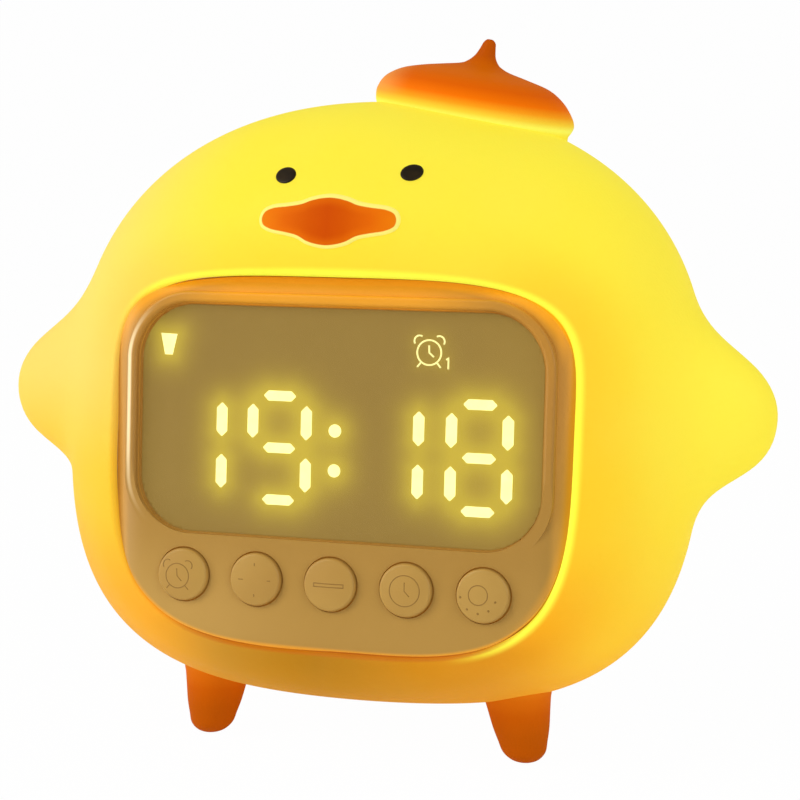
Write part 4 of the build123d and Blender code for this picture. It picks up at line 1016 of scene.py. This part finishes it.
def paint(node, material):
    """Gives a solid from the frame its finish."""
    mesh = NODES[node].data
    mesh.materials.clear()
    mesh.materials.append(material)


# ---------------------------------------------------------------- display
DIGIT_CENTRES = (-26.5, -10.65, 9.85, 25.7)
DIGIT_HALF_WIDTH, DIGIT_HALF_HEIGHT = 5.0, 9.2
BAR_LENGTH, BAR_WIDTH = 6.05, 1.8
POST_LENGTH, POST_WIDTH = 6.1, 2.0
CORNER_EASING = 0.2
MERGE_DISTANCE = 0.001
SEGMENTS = {
    # name: across, up in half heights, upright
    "top": (0, 1, False),
    "middle": (0, 0, False),
    "base": (0, -1, False),
    "left_high": (-1, 0.5, True),
    "right_high": (1, 0.5, True),
    "left_low": (-1, -0.5, True),
    "right_low": (1, -0.5, True),
}
SHOWN = {
    "1": ("right_high", "right_low"),
    "9": ("top", "middle", "base", "left_high", "right_high", "right_low"),
    "8": tuple(SEGMENTS),
}
TIME = "1918"
FILM_OUT = -1.56
LIGHT_OUT = -1.48
FILM_INSET = 0.12
COLON_RISE, COLON_RADIUS = 3.5, 1.15
LEVEL_BAR = ((-33.45, 19.55), (-30.35, 19.45), (-31.2, 15.75), (-32.65, 15.75))
ICON_PLACE = np.array((16.4, 17.8))


def pointed_bar(centre, length, width, upright):
    """Outline of a segment with pointed ends."""
    half, side = length / 2, width / 2
    straight = half - side
    upper = [(-half, 0), (-straight, side), (straight, side)]
    corners = np.array([*upper, *((-across, -up) for across, up in upper)])
    return (corners[:, ::-1] if upright else corners) + np.array(centre)


def circle(centre, radius, count=40, first=0.0, last=360.0):
    turns = np.radians(np.linspace(first, last, count, endpoint=last - first < 360.0))
    return np.array(centre) + radius * np.stack([np.cos(turns), np.sin(turns)], -1)


def shown_segments(upright):
    """Middles of the lit segments that stand upright, or of those that lie flat."""
    places = []
    for centre, digit in zip(DIGIT_CENTRES, TIME):
        for name in SHOWN[digit]:
            across, level, stands = SEGMENTS[name]
            if stands == upright:
                places.append((centre + across * DIGIT_HALF_WIDTH, level * DIGIT_HALF_HEIGHT))
    return np.array(places)


def lit_marks():
    """Outlines of the colon's two dots and the level bar."""
    dots = [circle((-0.35, level), COLON_RADIUS, 32) for level in (-COLON_RISE, COLON_RISE)]
    return [*dots, smooth_run(np.array(LEVEL_BAR)[::-1], 1, closed=True)]


def segment_tree(material):
    """Sets a pointed bar with eased corners on every point, turned as the point's facing says."""
    tree = bpy.data.node_groups.new("segment_bars", "GeometryNodeTree")
    tree.is_modifier = True
    tree.interface.new_socket("Geometry", in_out="INPUT", socket_type="NodeSocketGeometry")
    sizes = {"Length": BAR_LENGTH, "Width": BAR_WIDTH, "Easing": CORNER_EASING, "Depth": LIGHT_OUT - FILM_OUT}
    for label, size in sizes.items():
        socket = tree.interface.new_socket(label, in_out="INPUT", socket_type="NodeSocketFloat")
        socket.default_value = size * MM
    tree.interface.new_socket("Geometry", in_out="OUTPUT", socket_type="NodeSocketGeometry")
    grow = Shading(tree)
    given, out = tree.nodes.new("NodeGroupInput").outputs, tree.nodes.new("NodeGroupOutput")
    ring = grow.node("GeometryNodeMeshCircle", {"Vertices": 6, "Radius": 1.0}).outputs[0]
    position = grow.node("GeometryNodeInputPosition").outputs[0]
    x, y, _ = grow.node("ShaderNodeSeparateXYZ", {0: position}).outputs
    # The ring's corners lie half a radius and one radius out: the tips stand half a width past the sides.
    straight = grow.math("SUBTRACT", grow.times(given["Length"], 0.5), given["Width"])
    reach = grow.math("ADD", straight, grow.times(grow.math("ABSOLUTE", x), given["Width"]))
    along = grow.times(grow.math("SIGN", x), reach)
    aside = grow.times(grow.math("DIVIDE", y, math.sqrt(3.0)), given["Width"])
    place = grow.node("ShaderNodeCombineXYZ", {0: along, 1: aside}).outputs[0]
    ring = grow.node("GeometryNodeSetPosition", {"Geometry": ring, "Position": place}).outputs[0]
    curve = grow.node("GeometryNodeMeshToCurve", {"Mesh": ring}).outputs[0]
    sizes = {"Curve": curve, "Radius": given["Easing"], "Count": 3}
    curve = grow.node("GeometryNodeFilletCurve", sizes, mode="POLY").outputs[0]
    back = grow.node("GeometryNodeFillCurve", {"Curve": curve}, mode="NGONS").outputs[0]
    raised = {"Mesh": back, "Offset": (0.0, 0.0, 1.0), "Offset Scale": given["Depth"]}
    body = grow.node("GeometryNodeExtrudeMesh", raised).outputs[0]
    whole = grow.node("GeometryNodeJoinGeometry")
    tree.links.new(body, whole.inputs[0])
    tree.links.new(grow.node("GeometryNodeFlipFaces", {"Mesh": back}).outputs[0], whole.inputs[0])
    joined = {"Geometry": whole.outputs[0], "Distance": MERGE_DISTANCE * MM}
    bar = grow.node("GeometryNodeMergeByDistance", joined).outputs[0]
    facing = grow.node("GeometryNodeInputNamedAttribute", {"Name": "facing"}, data_type="FLOAT_VECTOR")
    spread = {"Points": given["Geometry"], "Instance": bar, "Rotation": facing.outputs[0]}
    bars = grow.node("GeometryNodeInstanceOnPoints", spread).outputs[0]
    bars = grow.node("GeometryNodeRealizeInstances", {"Geometry": bars}).outputs[0]
    done = grow.node("GeometryNodeSetMaterial", {"Geometry": bars, "Material": material}).outputs[0]
    tree.links.new(done, out.inputs[0])
    return tree


def segment_mesh(name, tree, places, upright, sizes):
    """The plain mesh of the segments that the tree sets on the display at places."""
    mesh = bpy.data.meshes.new(name + "_places")
    mesh.from_pydata((on_panel(places[:, 0], places[:, 1], FILM_OUT - 0.02) * MM).tolist(), [], [])
    along = PANEL_UP if upright else PANEL_ACROSS
    turn = Matrix((along, np.cross(PANEL_OUT, along), PANEL_OUT)).transposed().to_euler()
    facing = mesh.attributes.new("facing", "FLOAT_VECTOR", "POINT")
    facing.data.foreach_set("vector", list(turn) * len(places))
    carrier = bpy.data.objects.new(name + "_places", mesh)
    bpy.context.scene.collection.objects.link(carrier)
    modifier = carrier.modifiers.new("segments", "NODES")
    modifier.node_group = tree
    for socket in tree.interface.items_tree:
        if socket.in_out == "INPUT" and socket.name in sizes:
            modifier[socket.identifier] = sizes[socket.name] * MM
    evaluated = carrier.evaluated_get(bpy.context.evaluated_depsgraph_get())
    grown = bpy.data.meshes.new_from_object(evaluated)
    carrier.modifiers.remove(modifier)
    bpy.data.objects.remove(carrier)
    return grown


def display_icon_strokes():
    """The small alarm clock sign with a one beside it, as lines and whether each is closed."""
    at = ICON_PLACE
    return [
        (circle(at, 2.15), True),
        (circle(at + (-1.75, 1.95), 0.95, 10, 60, 210), False),
        (circle(at + (1.75, 1.95), 0.95, 10, -30, 120), False),
        (at + np.array(((-1.45, -1.75), (-2.1, -2.55))), False),
        (at + np.array(((1.45, -1.75), (2.1, -2.55))), False),
        (at + np.array(((-0.05, 1.25), (0.0, 0.0), (0.85, -0.75))), False),
        (at + np.array(((3.05, -1.15), (3.45, -0.85), (3.45, -2.75))), False),
    ]


def ribbon(line, closed, width):
    """Left and right edges of a thin line on the plane."""
    line = np.asarray(line, float)
    if closed:
        ahead, behind = np.roll(line, -1, 0), np.roll(line, 1, 0)
    else:
        ahead = np.vstack([line[1:], 2 * line[-1:] - line[-2:-1]])
        behind = np.vstack([2 * line[:1] - line[1:2], line[:-1]])
    before, after = unit(line - behind), unit(ahead - line)
    along = unit(before + after)
    side = np.stack([-along[:, 1], along[:, 0]], -1)
    stretch = 1 / np.clip((before * along).sum(-1), 0.6, 1)
    side = side * (stretch * width / 2)[:, None]
    return line + side, line - side


def divided(line, closed, step=0.3):
    """The line with a point at least every step."""
    line = np.asarray(line, float)
    ends = np.vstack([line[1:], line[:1]]) if closed else line[1:]
    run = []
    for start, end in zip(line, ends):
        count = max(1, math.ceil(np.linalg.norm(end - start) / step))
        run += [start + (end - start) * share for share in np.arange(count) / count]
    return np.array(run if closed else [*run, line[-1]])


def ribbon_slabs(strokes, width, place):
    """Thin raised lines; place turns plane points and a height share into row points."""
    points, faces = [], []
    for line, closed in strokes:
        line = divided(line, closed)
        left, right = ribbon(line, closed, width)
        count = len(line)
        first = sum(len(block) for block in points)
        points.append(np.concatenate([place(left, 1), place(right, 1), place(right, 0), place(left, 0)]))
        runs = count if closed else count - 1
        for step in range(runs):
            after = (step + 1) % count
            for lane in range(4):
                near, far = first + lane * count, first + (lane + 1) % 4 * count
                faces.append((near + step, near + after, far + after, far + step))
        if not closed:
            for end in (0, count - 1):
                quad = [first + lane * count + end for lane in range(4)]
                faces.append(tuple(quad if end == 0 else reversed(quad)))
    return np.concatenate(points), faces


def slabs(outlines, low, high):
    """Flat slabs from outlines on the panel's plane."""
    points, faces = [], []
    for outline in outlines:
        count, first = len(outline), sum(len(block) for block in points)
        points.append(
            np.concatenate([on_panel(outline[:, 0], outline[:, 1], level) for level in (low, high)])
        )
        for step in range(count):
            after = (step + 1) % count
            faces.append((first + step, first + after, first + count + after, first + count + step))
        faces.append(tuple(first + count + step for step in range(count)))
        faces.append(tuple(first + step for step in reversed(range(count))))
    return np.concatenate(points), faces


def distance_to_loop(points, loop):
    """Distance from plane points to a closed loop, zero inside it."""
    nearest = np.full(len(points), 1e9)
    inside = np.zeros(len(points), bool)
    for start, end in zip(loop, np.roll(loop, -1, 0)):
        run = end - start
        share = np.clip(((points - start) @ run) / (run @ run), 0, 1)
        gap = np.linalg.norm(points - start - share[:, None] * run, axis=1)
        nearest = np.minimum(nearest, gap)
        crosses = (start[1] > points[:, 1]) != (end[1] > points[:, 1])
        rise = end[1] - start[1] if abs(end[1] - start[1]) > 1e-9 else 1e-9
        left = points[:, 0] < start[0] + (points[:, 1] - start[1]) * run[0] / rise
        inside ^= crosses & left
    return np.where(inside, 0.0, nearest)


def window_grid(step):
    """Points and square cells over the window, with the points past its rounded outline drawn onto it."""
    half = np.array((WINDOW_HALF_WIDTH, (WINDOW_TOP - WINDOW_BASE) / 2)) - FILM_INSET
    middle = np.array((0.0, (WINDOW_TOP + WINDOW_BASE) / 2))
    counts = np.ceil(2 * (half + step) / step).astype(int)
    across, up = (np.linspace(-h - step / 2, h + step / 2, count) for h, count in zip(half, counts))
    grid = np.stack(np.meshgrid(across, up), -1).reshape(-1, 2)
    core = half - WINDOW_CORNER
    nearest = np.clip(grid, -core, core)
    reach = np.linalg.norm(grid - nearest, axis=1)
    outside = reach > WINDOW_CORNER
    pull = np.where(outside, WINDOW_CORNER / np.maximum(reach, 1e-6), 1.0)
    drawn = nearest + (grid - nearest) * pull[:, None] + middle
    columns, rows = counts
    cells, used = [], {}
    for row in range(rows - 1):
        for column in range(columns - 1):
            first = row * columns + column
            cell = (first, first + 1, first + columns + 1, first + columns)
            if not all(outside[corner] for corner in cell):
                cells.append(tuple(used.setdefault(int(corner), len(used)) for corner in cell))
    return drawn[list(used)], cells


def film_material():
    display = bpy.context.scene.clock_display
    material, shade, shader = new_material("display_film", 0.5, Specular_IOR_Level=0.2)
    halo = shade.node("ShaderNodeAttribute", attribute_name="halo").outputs["Fac"]
    panel = group_node(shade, "panel_place")
    cloud = shade.span(shade.noise(26.0, 3.0), 0.3, 0.7)
    plain = shade.mix(cloud, tone("9E813E"), tone("997C3B"))
    right = shade.times(shade.span(panel["Across"], 10.0, 38.0), 0.6)
    plain = shade.mix(right, plain, tone("A8883C"))
    colour = shade.mix(halo, plain, tone("D8C040"))
    # Painted light: the film's plain colour glows as well as the halo, so the film shows no shade from the
    # ridge round the window.
    surface = shade.mix(1.0, colour, (0.5, 0.5, 0.5, 1), "MULTIPLY")
    shade.tree.links.new(surface, shader.inputs["Base Color"])
    light = shade.mix(halo, colour, tone("F6DC48"))
    shade.tree.links.new(light, shader.inputs["Emission Color"])
    shader.inputs["Emission Strength"].default_value = 0.55 * display.glow
    return material


def light_material(name, colour, strength):
    material, shade, shader = new_material(name, 0.4)
    core = shade.mix(shade.span(shade.noise(500.0), 0.3, 0.7), colour, tone("FFFDA8"))
    shade.tree.links.new(core, shader.inputs["Base Color"])
    shade.tree.links.new(core, shader.inputs["Emission Color"])
    shader.inputs["Emission Strength"].default_value = strength
    return material


class CLOCK_OT_display(bpy.types.Operator):
    """Models the light film behind the window, the lit digits and the signs"""

    bl_idname = "clock.display"
    bl_label = "Display"

    def execute(self, context):
        display = context.scene.clock_display
        flat, cells = window_grid(0.5)
        marks = lit_marks()
        groups = (
            ("lit_bars", False, (BAR_LENGTH, BAR_WIDTH)),
            ("lit_posts", True, (POST_LENGTH, POST_WIDTH)),
        )
        shapes = list(marks)
        for _, upright, size in groups:
            shapes += [pointed_bar(place, *size, upright) for place in shown_segments(upright)]
        light = np.zeros(len(flat))
        for shape in shapes:
            gap = distance_to_loop(flat, shape)
            light += np.exp(-((gap / display.halo) ** 1.2))
        for line, _ in display_icon_strokes():
            gap = np.linalg.norm(flat[:, None] - line[None], axis=2).min(1)
            light += 0.1 * np.exp(-((gap / 1.2) ** 1.2))
        light = 1 - np.exp(-0.75 * light)
        front = on_panel(flat[:, 0], flat[:, 1], FILM_OUT)
        back = on_panel(flat[:, 0], flat[:, 1], FILM_OUT - 0.03)
        faces, total = list(cells), len(flat)
        sides = set()
        for cell in cells:
            faces.append(tuple(total + corner for corner in reversed(cell)))
            sides.update(zip(cell, cell[1:] + cell[:1]))
        for here, after in sorted(sides):
            if (after, here) not in sides:
                faces.append((after, here, total + here, total + after))
        make_piece(
            "display_film", np.vstack([front, back]), faces, film_material(),
            rims={"halo": np.concatenate([light, light])},
        )
        glow = light_material("lit_segment", (*display.lit, 1.0), 0.8 * display.glow)
        points, faces = slabs(marks, FILM_OUT - 0.02, LIGHT_OUT)
        make_piece("lit_marks", points, faces, glow, smooth=False)
        tree = segment_tree(glow)
        for name, upright, (length, width) in groups:
            sizes = {"Length": length, "Width": width, "Depth": LIGHT_OUT - FILM_OUT + 0.02}
            mesh = segment_mesh(name, tree, shown_segments(upright), upright, sizes)
            seat_piece(name, mesh, replaces=("digit_lenses",))
        sign = light_material("lit_sign", tone("FFF6A0"), 0.55 * display.glow)

        def place(line, raised):
            out = LIGHT_OUT if raised else FILM_OUT - 0.02
            return on_panel(line[:, 0], line[:, 1], out)

        points, faces = ribbon_slabs(display_icon_strokes(), 0.3, place)
        make_piece("lit_alarm_sign", points, faces, sign)
        return {"FINISHED"}


# ---------------------------------------------------------------- buttons
DOME_SAG = BUTTON_STAND - BUTTON_RIM
DOME_RADIUS = (BUTTON_RADIUS**2 + DOME_SAG**2) / (2 * DOME_SAG)
FLANGE_FRONT, FLANGE_BACK, FLANGE_RADIUS = -3.0, -4.0, 6.0
STEM_END, STEM_RADIUS = -5.5, 1.5
EDGE_ROUND = 0.55
POLE = 0.02
RAY_TURNS = (190, 233, 270, 306, 342)
RAY_REACH, RAY_RADIUS = 3.2, 0.12


def dome_height(radius):
    return BUTTON_STAND - DOME_RADIUS + np.sqrt(DOME_RADIUS**2 - np.asarray(radius) ** 2)


def button_signs():
    """Engraved lines of each button, as lines and whether each is closed."""
    marks = (
        ((-3.0, 0.0), (-2.1, 0.0)),
        ((3.0, 0.0), (2.4, 0.0)),
        ((0.0, 3.0), (0.0, 2.5)),
        ((0.0, -3.0), (0.0, -2.5)),
    )
    bar = np.array(((-2.7, -0.3), (2.7, -0.3), (2.7, 0.3), (-2.7, 0.3)))
    lamp = np.array((-0.7, 0.2))
    turns = np.radians(RAY_TURNS)
    places = lamp + RAY_REACH * np.stack([np.cos(turns), np.sin(turns)], -1)
    rays = [(circle(place, RAY_RADIUS, 8), True) for place in places]
    at = np.array((-0.8, -0.2))
    return {
        "alarm": [
            (circle(at, 2.2), True),
            (circle(at + (-1.9, 1.9), 0.9, 12, 60, 215), False),
            (circle(at + (1.9, 1.9), 0.9, 12, -35, 120), False),
            (at + np.array(((-1.5, -1.7), (-2.1, -2.4))), False),
            (at + np.array(((1.5, -1.7), (2.1, -2.4))), False),
            (at + np.array(((-0.1, 1.3), (0.0, 0.0), (0.85, -0.9))), False),
        ],
        "plus": [(np.array(mark), False) for mark in marks],
        "minus": [(bar, True)],
        "clock": [(circle((0, 0), 2.7), True), (np.array(((0.0, 1.5), (0.0, 0.0), (0.9, -0.9))), False)],
        "light": [(circle(lamp, 1.7), True), *rays],
    }


def button_material():
    material, shade, shader = new_material("button_plastic", 0.4, Specular_IOR_Level=0.3)
    grain = group_node(shade, "fine_grain", Scale=2600.0, Cloud=60.0)
    colour = shade.mix(grain["Tone"], tone("B88E44"), tone("BE964A"))
    shade.tree.links.new(colour, shader.inputs["Base Color"])
    # Painted glow: a brown light on the cap's sides down in the gap round it.
    deep = shade.span(group_node(shade, "panel_place")["Out"], -0.3, -0.8)
    shade.tree.links.new(shade.mix(deep, (0, 0, 0, 1), tone("8A5C18")), shader.inputs["Emission Color"])
    shader.inputs["Emission Strength"].default_value = 0.42
    set_bump(shade, shader, grain["Height"], 0.00002)
    return material


def engraved_material():
    material, shade, shader = new_material("engraved_line", 0.6)
    colour = shade.mix(shade.noise(700.0), tone("8C6420"), tone("A07830"))
    shade.tree.links.new(colour, shader.inputs["Base Color"])
    return material


class CLOCK_OT_buttons(bpy.types.Operator):
    """Models the five domed buttons and their engraved signs"""

    bl_idname = "clock.buttons"
    bl_label = "Buttons"

    def execute(self, context):
        cap, line = button_material(), engraved_material()
        edge_r = BUTTON_RADIUS - EDGE_ROUND
        radii = np.linspace(POLE, edge_r, 12)
        top = [(radius, float(dome_height(radius))) for radius in radii]
        edge_h = float(dome_height(edge_r)) - EDGE_ROUND
        turns = np.radians(np.linspace(78, 0, 8))
        rolled = [(edge_r + EDGE_ROUND * math.cos(t), edge_h + EDGE_ROUND * math.sin(t)) for t in turns]
        flange = [(BUTTON_RADIUS, FLANGE_FRONT), (FLANGE_RADIUS, FLANGE_FRONT), (FLANGE_RADIUS, FLANGE_BACK)]
        stem = [(STEM_RADIUS, FLANGE_BACK), (STEM_RADIUS, STEM_END), (POLE, STEM_END)]
        profile = top + rolled + flange + stem
        signs = button_signs()
        for index, name in enumerate(BUTTONS):
            centre = ((index - 2) * BUTTON_PITCH, BUTTON_V)
            turned, faces = lathe(profile, 72)
            points = on_panel(centre[0] + turned[:, 0], centre[1] + turned[:, 1], turned[:, 2])
            points, faces = cap_ends(points, faces, 72)
            make_piece(
                name + "_cap", points, faces, cap, name + "_key", (name + "_button",)
            )

            def place(stroke, raised, centre=centre):
                radius = np.linalg.norm(stroke, axis=1)
                out = dome_height(radius) + (0.02 if raised else -0.12)
                return on_panel(centre[0] + stroke[:, 0], centre[1] + stroke[:, 1], out)

            points, faces = ribbon_slabs(signs[name], 0.17, place)
            make_piece(name + "_sign", points, faces, line, name + "_key")
        return {"FINISHED"}


# ---------------------------------------------------------------- what the frame's other solids are made of
PLAIN_FINISHES = {
    # slot: first tone, second tone, roughness, metallic, noise scale, bump in metres
    "milky_plastic": ("F2E9CC", "FBF4DC", 0.45, 0.0, 90.0, 0.00002),
    "cover_plastic": ("F2C02E", "F8CC3C", 0.5, 0.0, 900.0, 0.00003),
    "black_plastic": ("1A1A1B", "232325", 0.45, 0.0, 700.0, 0.00002),
    "white_plastic": ("E4E1D8", "EFEDE6", 0.45, 0.0, 500.0, 0.00002),
    "circuit_board": ("0F4A25", "15602F", 0.35, 0.0, 160.0, 0.00001),
    "white_board": ("E6E6E2", "F2F2EE", 0.35, 0.0, 160.0, 0.00001),
    "warm_leds": ("F4DC7A", "FBE89A", 0.3, 0.0, 600.0, 0.00001),
    "tinned_pins": ("C4C4C0", "D6D6D2", 0.25, 1.0, 900.0, 0.00001),
    "bright_steel": ("B8B8B6", "CACAC8", 0.3, 1.0, 1200.0, 0.00001),
    "magnet_plate": ("3A3A3C", "4A4A4C", 0.4, 0.8, 500.0, 0.00002),
    "cone_paper": ("1E1E1E", "2A2A2A", 0.85, 0.0, 900.0, 0.00005),
    "cell_wrap": ("16408C", "1A4CA0", 0.3, 0.0, 60.0, 0.00001),
    "lead_cover": ("A81410", "BC1C16", 0.4, 0.0, 600.0, 0.00001),
}


class CLOCK_OT_inside(bpy.types.Operator):
    """Finishes the back cover, the screws and everything inside"""

    bl_idname = "clock.inside"
    bl_label = "Back and inside"

    def execute(self, context):
        finishes = {}
        for slot, (first, second, roughness, metallic, scale, depth) in PLAIN_FINISHES.items():
            material, shade, shader = new_material("finish_" + slot, roughness, Metallic=metallic)
            grain = group_node(shade, "fine_grain", Scale=scale * 2, Cloud=scale / 8)
            colour = shade.mix(grain["Tone"], tone(first), tone(second))
            shade.tree.links.new(colour, shader.inputs["Base Color"])
            if slot == "cover_plastic":
                x, _, z = object_parts(shade)
                glow = shade.mix(shade.span(z, 42.0, 94.0), tone("F5B428"), tone("FBD23C"))
                shade.tree.links.new(glow, shader.inputs["Emission Color"])
                shader.inputs["Emission Strength"].default_value = 0.3
            set_bump(shade, shader, grain["Height"], depth)
            finishes[slot] = material
        for part in frame["record"]["subparts"]:
            if part["material_slot"] in finishes:
                paint(part["node"], finishes[part["material_slot"]])
        return {"FINISHED"}


# ---------------------------------------------------------------- stage
CAMERA_PLACE = (107.47, -348.55, 117.79)
CAMERA_AIM = (12.07, -30.9, 67.73)


def lamp(name, place, aim, size, power, colour=(1, 1, 1)):
    data = bpy.data.lights.new(name, "AREA")
    data.shape = "RECTANGLE"
    data.size, data.size_y = size
    data.energy = power
    data.color = colour
    light = bpy.data.objects.new(name, data)
    light.location = place
    light.rotation_euler = (Vector(aim) - Vector(place)).to_track_quat("-Z", "Y").to_euler()
    bpy.context.scene.collection.objects.link(light)


class CLOCK_OT_stage(bpy.types.Operator):
    """Sets the camera, the pale floor and backdrop and the soft lamps"""

    bl_idname = "clock.stage"
    bl_label = "Stage"

    def execute(self, context):
        stage = context.scene.clock_stage
        scene = context.scene
        scene.view_settings.view_transform = "Standard"
        camera = bpy.data.cameras.new("camera")
        camera.lens = stage.lens
        camera.clip_end = 50
        view = bpy.data.objects.new("camera", camera)
        view.location = Vector(CAMERA_PLACE) * MM
        aim = Vector(CAMERA_AIM) * MM
        view.rotation_euler = (aim - view.location).to_track_quat("-Z", "Y").to_euler()
        scene.collection.objects.link(view)
        scene.camera = view

        world = bpy.data.worlds.new("studio")
        world.use_nodes = True
        shade = Shading(world.node_tree)
        world.node_tree.nodes.clear()
        path = shade.node("ShaderNodeLightPath")
        seen = shade.math("MAXIMUM", path.outputs["Is Camera Ray"], path.outputs["Is Transmission Ray"])
        even = shade.node("ShaderNodeBackground", {0: (1.0, 0.99, 0.97, 1), 1: stage.fill})
        white = shade.node("ShaderNodeBackground", {0: (1, 1, 1, 1), 1: 1.0})
        both = shade.node("ShaderNodeMixShader", {0: seen, 1: even.outputs[0], 2: white.outputs[0]})
        shade.node("ShaderNodeOutputWorld", {0: both.outputs[0]})
        scene.world = world

        lamp("key", (-0.75, -0.75, 0.75), (0, 0, 0.07), (0.5, 0.7), stage.key * 4, (1.0, 0.98, 0.94))
        lamp("side", (-0.55, -0.28, 0.12), (-0.03, -0.03, 0.07), (0.1, 0.4), stage.key * 0.6)
        lamp("fill", (0.9, -0.6, 0.5), (0, 0, 0.07), (0.7, 0.7), stage.key * 2.2)

        bend, far = 1.2, 2.0
        turns = np.radians((15, 30, 45, 60, 75, 90))
        run = [(-3.0, 0.0), (far, 0.0)]
        run += [(far + bend * math.sin(t), bend - bend * math.cos(t)) for t in turns]
        run += [(far + bend, 5.0)]
        corners = [(side * 4.0, y, z) for y, z in run for side in (-1, 1)]
        faces = [(2 * i, 2 * i + 1, 2 * i + 3, 2 * i + 2) for i in range(len(run) - 1)]
        mesh = bpy.data.meshes.new("backdrop")
        mesh.from_pydata(corners, [], faces)
        mesh.polygons.foreach_set("use_smooth", [True] * len(faces))
        floor = bpy.data.objects.new("backdrop", mesh)
        scene.collection.objects.link(floor)
        material, shade, shader = new_material("backdrop_paper", 0.9, Specular_IOR_Level=0.1)
        paper = shade.mix(shade.noise(6.0), (*stage.floor, 1.0), tone("F0F0EE"))
        shade.tree.links.new(paper, shader.inputs["Base Color"])
        path = shade.node("ShaderNodeLightPath")
        seen = shade.math("MAXIMUM", path.outputs["Is Camera Ray"], path.outputs["Is Transmission Ray"])
        share = shade.times(seen, 0.985)
        white = shade.node("ShaderNodeEmission", {0: (1, 1, 1, 1), 1: 1.0})
        both = shade.node("ShaderNodeMixShader", {0: share, 1: shader.outputs[0], 2: white.outputs[0]})
        shade.tree.links.new(both.outputs[0], material.node_tree.nodes["Material Output"].inputs[0])
        mesh.materials.append(material)
        return {"FINISHED"}


class CLOCK_PT_panel(bpy.types.Panel):
    bl_label = "Duckling clock"
    bl_space_type = "VIEW_3D"
    bl_region_type = "UI"
    bl_category = "Clock"

    def draw(self, context):
        for operator in OPERATORS:
            self.layout.operator(operator.bl_idname)
        for name, group in SETTINGS.items():
            box = self.layout.box()
            for key in group.__annotations__:
                box.prop(getattr(context.scene, name), key)


OPERATORS = (
    CLOCK_OT_stage,
    CLOCK_OT_skin,
    CLOCK_OT_beret,
    CLOCK_OT_face,
    CLOCK_OT_feet,
    CLOCK_OT_panel,
    CLOCK_OT_display,
    CLOCK_OT_buttons,
    CLOCK_OT_inside,
)
CLASSES = (*SETTINGS.values(), *OPERATORS, CLOCK_PT_panel)


def register():
    for item in CLASSES:
        bpy.utils.register_class(item)
    for name, group in SETTINGS.items():
        setattr(bpy.types.Scene, name, bpy.props.PointerProperty(type=group))


def unregister():
    for name in SETTINGS:
        delattr(bpy.types.Scene, name)
    for item in reversed(CLASSES):
        bpy.utils.unregister_class(item)


def main():
    register()
    for operator in OPERATORS:
        area, name = operator.bl_idname.split(".")
        getattr(getattr(bpy.ops, area), name)()


if __name__ == "__main__":
    main()
